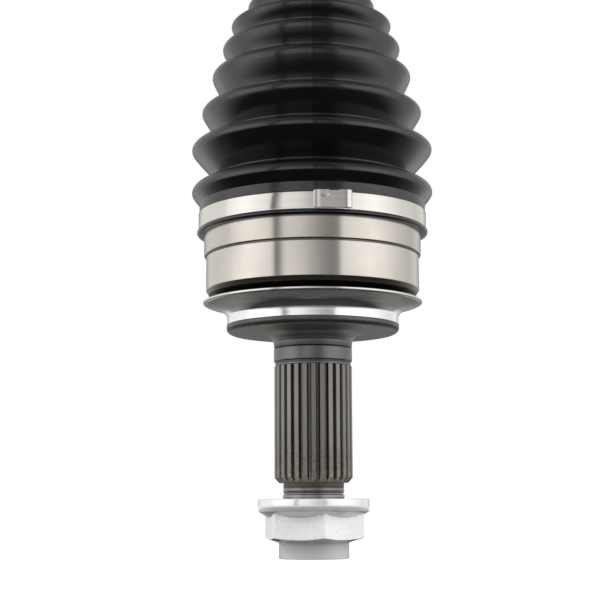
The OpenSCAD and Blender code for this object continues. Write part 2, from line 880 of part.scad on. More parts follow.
module roller_retainer(i) {
    color("#3c3c3e")
        on_trunnion(i)
            flat_ring(trunnion_r - 0.6 + press_gap, trunnion_r + 2, retainer_low, retainer_t, 30);
}

// Gearbox side

// Outline over the three lobes, grown by a clearance
module lobe_outline(grow) {
    circle(r = hollow_r + grow);
    for (i = [0 : 2])
        rotate([0, 0, 90 + 120 * i])
            intersection() {
                circle(r = lobe_r + grow);
                translate([roller_pitch_r, 0])
                    circle(r = lane_r + lobe_wall + grow);
            }
}

module inner_housing() {
    floor_z = inner_z + housing_floor_h;
    color("#55534f")
        difference() {
            union() {
                intersection() {
                    translate([0, 0, housing_mouth_z])
                        linear_extrude(housing_end_z - housing_mouth_z)
                            lobe_outline(0);
                    rotate_extrude()
                        polygon([
                            [0, housing_mouth_z], [lobe_r - 0.8, housing_mouth_z],
                            [lobe_r + 1, housing_mouth_z + 1.8], [lobe_r + 1, floor_z - 4.6],
                            [lobe_r - 8, housing_end_z], [0, housing_end_z]
                        ]);
                }
                rotate_extrude()
                    polygon([
                        [0, housing_end_z - 1], [stub_collar_d / 2 + 3, housing_end_z - 1],
                        [stub_collar_d / 2 + 2, housing_end_z],
                        [stub_collar_d / 2, housing_end_z + 2], [stub_collar_d / 2, stub_z - 0.8],
                        [stub_collar_d / 2 - 0.8, stub_z], [journal_d / 2, stub_z],
                        [journal_d / 2, journal_top_z - 1.5],
                        [journal_d / 2 - 1.5, journal_top_z],
                        [gearbox_root_r - 0.4, gearbox_spline_z],
                        [gearbox_root_r - 0.4, gearbox_tip_z - 2],
                        [gearbox_root_r - 2.4, gearbox_tip_z], [0, gearbox_tip_z]
                    ]);
                spline_rod(
                    gearbox_teeth, gearbox_root_r, gearbox_spline_d / 2, gearbox_spline_z,
                    gearbox_tip_z - 0.3, 1, 2.4
                );
            }
            for (i = [0 : 2])
                rotate([0, 0, 90 + 120 * i])
                    intersection() {
                        translate([roller_pitch_r, 0, housing_mouth_z - over])
                            cylinder(r = lane_r, h = floor_z - housing_mouth_z + over);
                        translate([0, 0, housing_mouth_z - 2 * over])
                            cylinder(r = lane_end_r, h = floor_z - housing_mouth_z + 3 * over);
                    }
            rotate_extrude()
                polygon([
                    [0, housing_mouth_z - over], [mouth_bore_r + 0.1, housing_mouth_z - over],
                    [mouth_bore_r, housing_mouth_z], [bore_r, inner_z - 3],
                    [bore_r, hollow_end_z], [bore_r - 6, floor_z], [0, floor_z]
                ]);
            translate([0, 0, gearbox_clip_z])
                rotate_extrude()
                    translate([gearbox_spline_d / 2 - 0.5, 0])
                        circle(r = circlip_wire_r + press_gap, $fn = 24);
            translate([0, 0, gearbox_tip_z - 4])
                cylinder(r1 = 0, r2 = 4, h = 4.01);
        }
}

module gearbox_circlip() {
    color("#3c3c3e")
        wire_ring(gearbox_spline_d / 2 - 0.5, circlip_wire_r, gearbox_clip_z, 24);
}

module boot_bushing() {
    color("#202022")
        difference() {
            translate([0, 0, housing_mouth_z])
                cylinder(r = bushing_r, h = bushing_h);
            translate([0, 0, housing_mouth_z - over])
                linear_extrude(bushing_h + 2 * over)
                    lobe_outline(press_gap);
        }
}

module inner_boot() {
    top_z = housing_mouth_z + bushing_h - 0.5;
    start = [inner_seat_r + 0.3, housing_mouth_z + 1];
    end = [cuff_r + 1.5, housing_mouth_z - inner_folds_h];
    crests = crests_at(inner_folds, bushing_r, housing_mouth_z, -inner_folds_h);
    cuff_low = inner_cuff_z - inner_cuff_h;
    cuff_band_z = inner_cuff_z - 4 - small_band_w;
    inside = bellows(start, crests, inner_valleys, bushing_r, end, boot_wall, 5);
    last = len(inside) - 1;
    color("#1b1b1c")
        rotate_extrude()
            polygon([
                [inner_bore_r, top_z - 0.6], [inner_bore_r + 0.6, top_z], [inner_bead_r - 1, top_z],
                [inner_bead_r, top_z - 1],
                [inner_bead_r, inner_band_z + large_band_w + 0.8],
                [inner_bead_r - 0.8, inner_band_z + large_band_w],
                [inner_seat_r, inner_band_z + large_band_w], [inner_seat_r, inner_band_z],
                [inner_seat_r + 0.3, inner_band_z],
                each bellows(start, crests, inner_valleys, bushing_r, end, 0, 7),
                [cuff_r, inner_cuff_z], [cuff_r, cuff_band_z + small_band_w],
                [cuff_r - 0.5, cuff_band_z + small_band_w], [cuff_r - 0.5, cuff_band_z],
                [cuff_r, cuff_band_z], [cuff_r, cuff_low + 0.6], [cuff_r - 0.6, cuff_low],
                [cuff_bore_r, cuff_low], [cuff_bore_r, inner_cuff_z],
                for (i = [last : -1 : 0]) inside[i],
                [inner_bore_r, housing_mouth_z - 0.3]
            ]);
}

module inner_boot_large_clamp() {
    color("#b9b6b0")
        boot_band(inner_seat_r, inner_band_z, large_band_w, latch_angle);
}

module inner_boot_small_clamp() {
    color("#b9b6b0")
        boot_band(cuff_r - 0.5, inner_cuff_z - 4 - small_band_w, small_band_w, -40);
}

inner_housing();
gearbox_circlip();
boot_bushing();
inner_boot_large_clamp();
inner_boot();
inner_boot_small_clamp();
tripod_spider();
spider_ring(inner_z - spider_h / 2 - snap_t - snap_gap / 2);  // spider_ring_lower
spider_ring(inner_z + spider_h / 2 + snap_gap / 2);  // spider_ring_upper
for (i = [1 : 3]) {
    roller(i);
    needles(i);
    roller_retainer(i);
}
axle_bar();
bar_circlip();
inner_race();
outer_cage();
for (i = [1 : 6])
    ball(i);
outer_boot();
outer_boot_small_clamp();
outer_boot_large_clamp();
outer_race();
dust_slinger();
axle_nut();
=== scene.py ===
"""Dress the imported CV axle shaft: rubber boots, clamp bands, slinger, nut and a studio.

The CAD frame gives every rigid piece its shape and place. This script adds what the frame
leaves plain: the two bellows boots, the four clamp bands with their folded latches, the
dust slinger, the flange nut and a procedural finish for each surface. Lengths are in
millimetres until a mesh is made, and every mesh is in metres, in the frame's own axes.
"""

from __future__ import annotations

import logging
import math
from dataclasses import dataclass
from enum import Enum
from typing import Sequence, Union

import bmesh
import bpy
from mathutils import Matrix, Vector

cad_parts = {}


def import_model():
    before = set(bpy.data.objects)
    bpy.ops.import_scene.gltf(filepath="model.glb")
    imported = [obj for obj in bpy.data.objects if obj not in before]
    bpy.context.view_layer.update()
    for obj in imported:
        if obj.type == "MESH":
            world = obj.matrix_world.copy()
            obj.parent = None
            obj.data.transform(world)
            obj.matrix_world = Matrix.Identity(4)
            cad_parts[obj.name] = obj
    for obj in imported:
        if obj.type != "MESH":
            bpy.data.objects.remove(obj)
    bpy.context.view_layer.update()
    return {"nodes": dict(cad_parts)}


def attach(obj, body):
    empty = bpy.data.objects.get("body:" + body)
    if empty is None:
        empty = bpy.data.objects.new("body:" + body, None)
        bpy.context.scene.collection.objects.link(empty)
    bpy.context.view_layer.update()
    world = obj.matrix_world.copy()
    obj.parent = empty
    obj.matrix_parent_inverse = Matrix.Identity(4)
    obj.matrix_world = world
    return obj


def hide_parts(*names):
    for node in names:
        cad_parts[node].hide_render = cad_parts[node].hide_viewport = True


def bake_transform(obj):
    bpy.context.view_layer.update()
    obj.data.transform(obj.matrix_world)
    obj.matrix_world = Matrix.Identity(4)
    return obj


MM = 0.001

# From this angle on, in degrees, an edge of a turned or folded piece stays sharp
CREASE = 38.0

# Faces round the axis of a turned metal ring
RING_STEPS = 240

Point = tuple[float, float]
Place = tuple[float, float, float]
Colour = tuple[float, float, float, float]
Socket = bpy.types.NodeSocket
Tree = bpy.types.NodeTree
Piece = bpy.types.Object
Material = bpy.types.Material

# What a node's input takes: a value, or the output that is linked to it
Feed = Union[float, str, tuple, Socket]

log = logging.getLogger("axle")


class Body(Enum):
    """Bodies of the frame that the new pieces ride on or lie between."""

    GEARBOX_SIDE = "gearbox_side"
    CARRIAGE = "inner_carriage"
    SHAFT = "shaft"
    SWING = "outer_swing"
    WHEEL_SIDE = "wheel_side"
    NUT = "nut"


class Slot(Enum):
    """Material slots of the record, named as the new pieces' finishes."""

    BAND = "band_stainless"
    BOOT = "boot_elastomer"
    SLINGER = "slinger_steel"
    NUT = "nut_zinc"


def linear(code: str) -> Colour:
    """Turn an sRGB hex colour into the linear colour that a socket takes.

    Args:
        code: Colour as "#rrggbb".

    Returns:
        Linear red, green and blue, and a full alpha.
    """
    parts = [int(code[i : i + 2], 16) / 255 for i in (1, 3, 5)]
    red, green, blue = (
        p / 12.92 if p <= 0.04045 else ((p + 0.055) / 1.055) ** 2.4 for p in parts
    )
    return red, green, blue, 1.0


def add_node(
    tree: Tree, kind: str, feeds: dict[str | int, Feed] | None = None
) -> bpy.types.Node:
    """Add a node to a tree, with its settings and the links into it.

    Args:
        tree: Shader or geometry tree.
        kind: Blender's name for the node's type.
        feeds: Values and output sockets by attribute name, input name or input number,
            with the attributes first.

    Returns:
        The new node.
    """
    node = tree.nodes.new(kind)
    for key, value in (feeds or {}).items():
        if isinstance(value, Socket):
            tree.links.new(value, node.inputs[key])
        elif isinstance(key, str) and hasattr(node, key):
            setattr(node, key, value)
        else:
            node.inputs[key].default_value = value
    return node


def calc(tree: Tree, operation: str, *values: Feed) -> Socket:
    """Add a Math node on numbers or sockets, in the order of its inputs."""
    feeds = {"operation": operation, **dict(enumerate(values))}
    return add_node(tree, "ShaderNodeMath", feeds).outputs["Value"]


def remap(
    tree: Tree,
    value: Socket,
    start: float,
    stop: float,
    low: float = 0.0,
    high: float = 1.0,
) -> Socket:
    """Add a Map Range node that takes start to low and stop to high, and no further."""
    ends = {"From Min": start, "From Max": stop, "To Min": low, "To Max": high}
    return add_node(tree, "ShaderNodeMapRange", {"Value": value, **ends}).outputs["Result"]


def noise(tree: Tree, place: Socket, scale: float, detail: float) -> Socket:
    """Add a noise texture with so many cells in a unit of length."""
    feeds = {"Scale": scale, "Detail": detail, "Vector": place}
    return add_node(tree, "ShaderNodeTexNoise", feeds).outputs["Fac"]


def mix(tree: Tree, kind: str, share: Socket, first: Feed, second: Feed) -> Socket:
    """Add a Mix node.

    Args:
        tree: Shader tree.
        kind: "FLOAT" or "RGBA".
        share: How much of the second is shown.
        first: Value or colour at a share of 0.
        second: Value or colour at a share of 1.

    Returns:
        The node's output.
    """
    # Each kind has two inputs and an output of its own, by number
    one, two, out = {"FLOAT": (2, 3, 0), "RGBA": (6, 7, 2)}[kind]
    feeds = {"data_type": kind, 0: share, one: first, two: second}
    return add_node(tree, "ShaderNodeMix", feeds).outputs[out]


def split(tree: Tree, vector: Socket) -> bpy.types.NodeOutputs:
    """Take a vector apart into its X, Y and Z."""
    return add_node(tree, "ShaderNodeSeparateXYZ", {"Vector": vector}).outputs


def join(tree: Tree, x: Feed, y: Feed, z: Feed) -> Socket:
    """Put a vector together from its X, Y and Z."""
    node = add_node(tree, "ShaderNodeCombineXYZ", {"X": x, "Y": y, "Z": z})
    return node.outputs["Vector"]


def length(tree: Tree, vector: Socket) -> Socket:
    """Measure a vector."""
    node = add_node(tree, "ShaderNodeVectorMath", {"operation": "LENGTH", 0: vector})
    return node.outputs["Value"]


def scaled(tree: Tree, colour: Socket, share: Socket) -> Socket:
    """Dim or brighten a colour by a share."""
    feeds = {"operation": "SCALE", 0: colour, "Scale": share}
    return add_node(tree, "ShaderNodeVectorMath", feeds).outputs["Vector"]


def bump(tree: Tree, height: Socket, strength: float, depth: float) -> Socket:
    """Turn a relief, its full height in millimetres, into the way the surface faces."""
    feeds = {"Strength": strength, "Distance": depth * MM, "Height": height}
    return add_node(tree, "ShaderNodeBump", feeds).outputs["Normal"]


def ramp(tree: Tree, place: Socket, stops: Sequence[tuple[float, Colour]]) -> Socket:
    """Add a colour ramp with its stops.

    Args:
        tree: Shader tree.
        place: Where the ramp is read, from 0 to 1.
        stops: Places from 0 to 1 and their linear colours, in rising order.

    Returns:
        The ramp's colour.
    """
    node = add_node(tree, "ShaderNodeValToRGB", {"Fac": place})
    elements = node.color_ramp.elements
    while len(elements) > 1:
        elements.remove(elements[-1])
    elements[0].position, elements[0].color = stops[0]
    for spot, colour in stops[1:]:
        elements.new(spot).color = colour
    return node.outputs["Color"]


def cleared(owner: Material | bpy.types.World) -> Tree:
    """Return the empty node tree of a new material or world."""
    owner.use_nodes = True
    owner.node_tree.nodes.clear()
    return owner.node_tree


@dataclass(frozen=True)
class Finish:
    """A real material's finish. Each kind below fills in how its surface was made."""

    name: str

    def surface(self, tree: Tree, place: Socket) -> dict[str, Feed]:
        """Build what feeds the Principled shader.

        Args:
            tree: The material's tree.
            place: Object coordinates, in metres.

        Returns:
            Values and output sockets by the name of the shader's input.
        """
        raise NotImplementedError

    def material(self) -> Material:
        """Make the material.

        Returns:
            A node material on Object coordinates.
        """
        made = bpy.data.materials.new(self.name)
        tree = cleared(made)
        place = add_node(tree, "ShaderNodeTexCoord").outputs["Object"]
        shader = add_node(tree, "ShaderNodeBsdfPrincipled", self.surface(tree, place))
        add_node(tree, "ShaderNodeOutputMaterial", {"Surface": shader.outputs["BSDF"]})
        return made


@dataclass(frozen=True)
class MouldedElastomer(Finish):
    """Polyester elastomer boot, blow-moulded and satin: black with a soft highlight.

    The mould leaves a fine even grain and a slow unevenness in the gloss, so the
    highlight along each fold breaks up slightly.
    """

    deep: str = "#050505"
    worn: str = "#09090a"
    grain_mm: float = 0.45

    def surface(self, tree: Tree, place: Socket) -> dict[str, Feed]:
        """Build the moulded grain, the uneven gloss and the two blacks.

        Args:
            tree: The material's tree.
            place: Object coordinates, in metres.

        Returns:
            Values and output sockets by the name of the shader's input.
        """
        clouds = noise(tree, place, 70.0, 4.0)
        grain = noise(tree, place, 1 / (self.grain_mm * MM), 2.0)
        return {
            "Base Color": mix(tree, "RGBA", clouds, linear(self.deep), linear(self.worn)),
            "Roughness": remap(tree, clouds, 0.3, 0.7, 0.15, 0.22),
            "Normal": bump(tree, grain, 0.35, 0.05),
            "IOR": 1.7,
        }


class Lay(Enum):
    """Which way a cutter or a mill left its lines."""

    ROUND_AXIS = (40.0, 40.0, 2600.0)
    EVEN = (1500.0, 1500.0, 1500.0)

    def lines(self, tree: Tree, place: Socket) -> Socket:
        """Draw the lines as a relief on Object coordinates."""
        node = add_node(tree, "ShaderNodeMapping", {"Scale": self.value, "Vector": place})
        return noise(tree, node.outputs["Vector"], 1.0, 3.0)


@dataclass(frozen=True)
class BareMetal(Finish):
    """Bare or plated metal of one colour, with the lines or grit that its making left."""

    colour: str
    shade: str
    roughness: float
    spread: float
    lay: Lay
    relief_mm: float

    def surface(self, tree: Tree, place: Socket) -> dict[str, Feed]:
        """Build the lay of the tool, its relief and the uneven tone.

        Args:
            tree: The material's tree.
            place: Object coordinates, in metres.

        Returns:
            Values and output sockets by the name of the shader's input.
        """
        lines = self.lay.lines(tree, place)
        tone = calc(tree, "MULTIPLY", lines, 0.5)
        both = calc(tree, "MULTIPLY_ADD", noise(tree, place, 55.0, 5.0), 0.5, tone)
        even = remap(tree, both, 0.35, 0.65)
        dull, glossy = self.roughness + self.spread, self.roughness - self.spread
        return {
            "Base Color": mix(tree, "RGBA", even, linear(self.shade), linear(self.colour)),
            "Roughness": remap(tree, even, 0.0, 1.0, dull, glossy),
            "Normal": bump(tree, lines, 0.5, self.relief_mm),
            "Metallic": 1.0,
        }


@dataclass(frozen=True)
class Zone:
    """Finish of one stretch of a turned piece, from its height upwards.

    Grit is how much it is pitted or blasted, and gap how much painted shade darkens the
    gaps between its teeth, both from 0 to 1.
    """

    z: float
    colour: str
    roughness: float
    grit: float = 0.0
    gap: float = 0.0


@dataclass(frozen=True)
class ZonedSteel(Finish):
    """One piece of steel whose stretches were turned, ground, rolled, blasted or heated.

    The zones follow the height along the axis, so each band of the piece has the tone
    and the gloss of its own machining, with fine turning lines over all of them. Gaps
    between teeth are darkened as painted shade, from the tip's radius to the root's, in
    millimetres.
    """

    zones: tuple[Zone, ...]
    relief_mm: float = 0.012
    grit_mm: float = 1.0
    unevenness: float = 0.1
    root: float = 14.2
    tip: float = 15.3
    metal: float = 1.0

    def surface(self, tree: Tree, place: Socket) -> dict[str, Feed]:
        """Build the zones, the turning lines, the grit and the painted shade in the gaps.

        Args:
            tree: The material's tree.
            place: Object coordinates, in metres.

        Returns:
            Values and output sockets by the name of the shader's input.
        """
        low, high = self.zones[0].z, self.zones[-1].z
        spots = [(zone.z - low) / (high - low) for zone in self.zones]
        at = split(tree, place)
        height = remap(tree, at["Z"], low * MM, high * MM)
        colours = [linear(zone.colour) for zone in self.zones]
        states = [(zone.roughness, zone.grit, zone.gap, 1.0) for zone in self.zones]
        colour = ramp(tree, height, list(zip(spots, colours)))
        state = ramp(tree, height, list(zip(spots, states)))
        state = add_node(tree, "ShaderNodeSeparateColor", {"Color": state}).outputs
        roughness, grit, gap = state["Red"], state["Green"], state["Blue"]

        # Painted shade in the gaps between teeth, dark specks and an uneven tone
        radius = length(tree, join(tree, at["X"], at["Y"], 0.0))
        painted_root_shade = remap(tree, radius, self.tip * MM, self.root * MM, 0.0, 0.5)
        pits = noise(tree, place, 1 / (self.grit_mm * MM), 3.0)
        speck = remap(tree, pits, 0.42, 0.62, 0.0, 0.35)
        painted_gap_shade = calc(tree, "MULTIPLY", painted_root_shade, gap)
        specks_and_gap_shade = calc(tree, "MULTIPLY_ADD", speck, grit, painted_gap_shade)
        dull, bright = 1 - self.unevenness, 1 + self.unevenness / 2
        tone = remap(tree, noise(tree, place, 60.0, 6.0), 0.3, 0.7, dull, bright)
        share = calc(tree, "MULTIPLY", tone, calc(tree, "SUBTRACT", 1.0, specks_and_gap_shade))

        # Pits stand out nine times as much as the turning lines
        lines = Lay.ROUND_AXIS.lines(tree, place)
        relief = calc(tree, "MULTIPLY_ADD", calc(tree, "MULTIPLY", pits, grit), 9.0, lines)
        return {
            "Base Color": scaled(tree, colour, share),
            "Roughness": roughness,
            "Normal": bump(tree, relief, 0.5, self.relief_mm),
            "Metallic": self.metal,
        }


@dataclass(frozen=True)
class BlackEnamel(Finish):
    """Sprayed and baked black enamel on the bar: glossy, with a slight orange peel."""

    colour: str = "#101011"
    peel_mm: float = 2.2

    def surface(self, tree: Tree, place: Socket) -> dict[str, Feed]:
        """Build the orange peel and the dusty gloss.

        Args:
            tree: The material's tree.
            place: Object coordinates, in metres.

        Returns:
            Values and output sockets by the name of the shader's input.
        """
        peel = noise(tree, place, 1 / (self.peel_mm * MM), 2.0)
        clouds = noise(tree, place, 40.0, 5.0)
        return {
            "Base Color": linear(self.colour),
            "Roughness": remap(tree, clouds, 0.3, 0.7, 0.22, 0.34),
            "Normal": bump(tree, peel, 0.4, 0.06),
        }


# Blow-moulded elastomer: black, with a soft highlight along each fold
BOOT_ELASTOMER = MouldedElastomer("boot_elastomer")

# Rolled stainless strip: bright warm silver, nearly without lines
BAND_STAINLESS = BareMetal(
    "band_stainless", "#e9e6e0", "#dbd7d0", 0.11, 0.015, Lay.ROUND_AXIS, 0.003
)

# Pressed and plated sheet of one finish: the flare and the cut rim painted bright as
# highlights, the flange satin and painted darker as shade
SLINGER_STEEL = ZonedSteel(
    "slinger_steel",
    (
        Zone(9.0, "#eeede9", 0.1),
        Zone(14.0, "#eeede9", 0.12),
        Zone(15.2, "#c6c5c2", 0.24),
        Zone(17.9, "#bdbcb9", 0.26),
        Zone(18.4, "#e6e5e1", 0.16),
        Zone(19.6, "#e6e5e1", 0.16),
    ),
    relief_mm=0.006,
    unevenness=0.05,
)

# The slinger's band: whiter than its flare as a painted highlight, with a clear sheen
SLINGER_BAND_HIGHLIGHT = ZonedSteel(
    "slinger_band_highlight",
    (Zone(9.0, "#ffffff", 0.14), Zone(13.5, "#ffffff", 0.14)),
    relief_mm=0.006,
    unevenness=0.05,
    metal=0.8,
)

# Cold-forged and zinc-plated nut: a pale shine on the flange and the chamfers
NUT_ZINC = ZonedSteel(
    "nut_zinc",
    (Zone(-82.6, "#eeeeee", 0.13), Zone(-59.0, "#eeeeee", 0.13)),
    relief_mm=0.008,
    unevenness=0.05,
    metal=0.55,
)

# The nut's collar, turned smooth before plating: white, with soft upright streaks
NUT_COLLAR = ZonedSteel(
    "nut_collar",
    (Zone(-82.6, "#f8f8f8", 0.14), Zone(-74.0, "#f8f8f8", 0.14)),
    relief_mm=0.003,
    unevenness=0.03,
    metal=0.35,
)

# The nut's six flats, blasted before plating: pale and sandy
NUT_BLASTED = ZonedSteel(
    "nut_blasted",
    (Zone(-82.6, "#f4f4f4", 0.5, 0.45), Zone(-59.0, "#f4f4f4", 0.5, 0.45)),
    relief_mm=0.02,
    grit_mm=0.45,
    unevenness=0.05,
    metal=0.2,
)

# Lapped balls, rollers and needles: near mirror with an oil film
BEARING_STEEL = BareMetal(
    "bearing_steel", "#c4c4c2", "#a8a8a6", 0.12, 0.03, Lay.EVEN, 0.003
)

# Case-hardened and phosphated cage: dark grey, dull
CAGE_STEEL = BareMetal("cage_steel", "#5a5855", "#3c3a38", 0.42, 0.08, Lay.EVEN, 0.03)

# Hardened and ground joint parts: grey steel with a brown oil tint
SPIDER_STEEL = BareMetal("spider_steel", "#8f8b84", "#6e6a63", 0.27, 0.06, Lay.EVEN, 0.02)

# Oil-blued spring wire and snap rings: nearly black, with a sheen
SPRING_STEEL = BareMetal("spring_steel", "#3d3d42", "#26262a", 0.32, 0.06, Lay.EVEN, 0.01)

# Moulded sleeve under the gearbox boot: dull black, finer in grain than the boots
BUSHING_PLASTIC = MouldedElastomer("bushing_plastic", "#161617", "#222223", 0.3)

# Baked enamel on the bar: deep black, with a slight orange peel
BAR_ENAMEL = BlackEnamel("bar_enamel")

# Forged hub stub: rolled thread, heat-tinted neck, rolled spline, turned and ground bell
RACE_STEEL = ZonedSteel(
    "race_steel",
    (
        Zone(-58.85, "#a9a6a1", 0.26),
        Zone(-57.8, "#a9a6a1", 0.28),
        Zone(-57.5, "#bba994", 0.3),
        Zone(-57.05, "#b09c86", 0.3),
        Zone(-56.95, "#565578", 0.3),
        Zone(-56.2, "#525176", 0.3),
        Zone(-56.05, "#aca09a", 0.3),
        Zone(-55.3, "#9c918a", 0.32),
        # Painted shade: the spline's lower end, its taper, darkened nearly to black
        Zone(-54.9, "#4a4540", 0.5),
        Zone(-52.5, "#ada69c", 0.45, 1.0, 0.6),
        Zone(-43.0, "#a59e96", 0.45, 0.8, 0.9),
        Zone(-38.0, "#9b9893", 0.4, 0.15, 1.0),
        Zone(-6.4, "#989590", 0.4, 0.0, 1.0),
        Zone(-5.8, "#4c4a47", 0.45),
        Zone(-4.7, "#7a7979", 0.32),
        Zone(-0.2, "#7a7979", 0.32),
        Zone(0.6, "#5d5a57", 0.42),
        Zone(6.2, "#c4c3c2", 0.45),
        Zone(6.7, "#c4c3c2", 0.45, 0.2),
        Zone(7.1, "#6f665a", 0.55, 1.0),
        Zone(8.1, "#675e52", 0.55, 1.0),
        Zone(8.4, "#6b6b6c", 0.35),
        Zone(10.0, "#56565a", 0.4),
        Zone(19.4, "#403d3a", 0.45),
        Zone(20.6, "#5d5852", 0.38),
        Zone(23.3, "#857f77", 0.34),
        Zone(23.7, "#d6d0c8", 0.15),
        Zone(36.7, "#d6d0c8", 0.15),
        # The groove under the seat's step: rougher, and painted darker as shade
        Zone(36.95, "#8a847c", 0.3),
        Zone(37.5, "#8a847c", 0.3),
        Zone(37.8, "#d2ccc3", 0.16),
    ),
)

# Forged tripod housing: dark oiled forging, ground journal, rolled spline
HOUSING_STEEL = ZonedSteel(
    "housing_steel",
    (
        Zone(352.0, "#8a867f", 0.3),
        Zone(356.0, "#57544f", 0.42, 0.3),
        Zone(428.0, "#504d49", 0.46, 0.3),
        Zone(436.5, "#5c5954", 0.42),
        Zone(440.5, "#77736d", 0.34),
        Zone(441.3, "#c4c0b9", 0.14),
        Zone(455.6, "#c4c0b9", 0.14),
        Zone(456.6, "#6b6761", 0.34),
        Zone(459.5, "#6b6761", 0.34),
        Zone(461.0, "#87837c", 0.4, 0.0, 1.0),
        Zone(503.0, "#87837c", 0.4, 0.0, 1.0),
    ),
    root=12.8,
    tip=13.8,
)

NODE_FINISHES: dict[str, Finish] = {
    "outer_race": RACE_STEEL,
    "axle_bar": BAR_ENAMEL,
    "inner_housing": HOUSING_STEEL,
    "boot_bushing": BUSHING_PLASTIC,
    "outer_cage": CAGE_STEEL,
    "inner_race": SPIDER_STEEL,
    "tripod_spider": SPIDER_STEEL,
    "gearbox_circlip": SPRING_STEEL,
    "bar_circlip": SPRING_STEEL,
    "spider_ring_lower": SPRING_STEEL,
    "spider_ring_upper": SPRING_STEEL,
    **{f"roller_retainer_{i}": SPRING_STEEL for i in (1, 2, 3)},
    **{f"roller_{i}": BEARING_STEEL for i in (1, 2, 3)},
    **{f"needles_{i}": BEARING_STEEL for i in (1, 2, 3)},
    **{f"ball_{i}": BEARING_STEEL for i in range(1, 7)},
}


class MaterialShelf:
    """Makes each finish's material once and hands it out."""

    def __init__(self) -> None:
        """Start with nothing made."""
        self._made: dict[str, Material] = {}

    def get(self, finish: Finish) -> Material:
        """Return the finish's material, made on its first use."""
        if finish.name not in self._made:
            self._made[finish.name] = finish.material()
        return self._made[finish.name]


def place_mesh(name: str, mesh: bpy.types.Mesh) -> Piece:
    """Put a mesh into the scene as an object at the origin.

    Args:
        name: Name of the piece.
        mesh: Its mesh, in metres, in the frame's axes.

    Returns:
        The new object.
    """
    piece = bpy.data.objects.new(name, mesh)
    bpy.context.scene.collection.objects.link(piece)
    return piece


def place_grown(
    name: str,
    grown: bmesh.types.BMesh,
    crease: float,
    materials: Sequence[Material],
) -> Piece:
    """Turn a closed, grown mesh into a piece that is smooth but for its creases.

    Args:
        name: Name of the piece.
        grown: The mesh, which is freed.
        crease: Angle in degrees from which an edge stays sharp.
        materials: Materials in the order of the numbers on its faces.

    Returns:
        The new object.
    """
    bmesh.ops.recalc_face_normals(grown, faces=grown.faces)
    for face in grown.faces:
        face.smooth = True
    for edge in grown.edges:
        edge.smooth = edge.calc_face_angle(0.0) < math.radians(crease)
    mesh = bpy.data.meshes.new(name)
    grown.to_mesh(mesh)
    grown.free()
    for material in materials:
        mesh.materials.append(material)
    return place_mesh(name, mesh)


def settle(piece: Piece) -> Piece:
    """Turn what a piece's modifiers make into its plain mesh, and remove them.

    Args:
        piece: Object with live modifiers.

    Returns:
        The same object.
    """
    bpy.context.view_layer.update()
    graph = bpy.context.evaluated_depsgraph_get()
    mesh = bpy.data.meshes.new_from_object(piece.evaluated_get(graph))
    mesh.name = piece.name
    piece.modifiers.clear()
    piece.data = mesh
    return piece


def outward(piece: Piece) -> Piece:
    """Point a closed piece's faces outwards.

    Args:
        piece: Object with a closed mesh.

    Returns:
        The same object.
    """
    grown = bmesh.new()
    grown.from_mesh(piece.data)
    bmesh.ops.recalc_face_normals(grown, faces=grown.faces)
    if grown.calc_volume(signed=True) < 0:
        bmesh.ops.reverse_faces(grown, faces=grown.faces)
    grown.to_mesh(piece.data)
    grown.free()
    return piece


def mount(pieces: list[Piece], body: Body, node: str) -> list[Piece]:
    """Let rigid pieces ride on a body in place of a CAD node.

    Args:
        pieces: The finished pieces.
        body: The body that they ride on.
        node: Name of the CAD node that they stand for.

    Returns:
        The same pieces.
    """
    for piece in pieces:
        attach(piece, body.value)
        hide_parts(node)
    return pieces


def polar(radius: float, angle: float, z: float) -> Place:
    """Find a place round the axis in metres, from millimetres and radians."""
    return radius * math.cos(angle) * MM, radius * math.sin(angle) * MM, z * MM


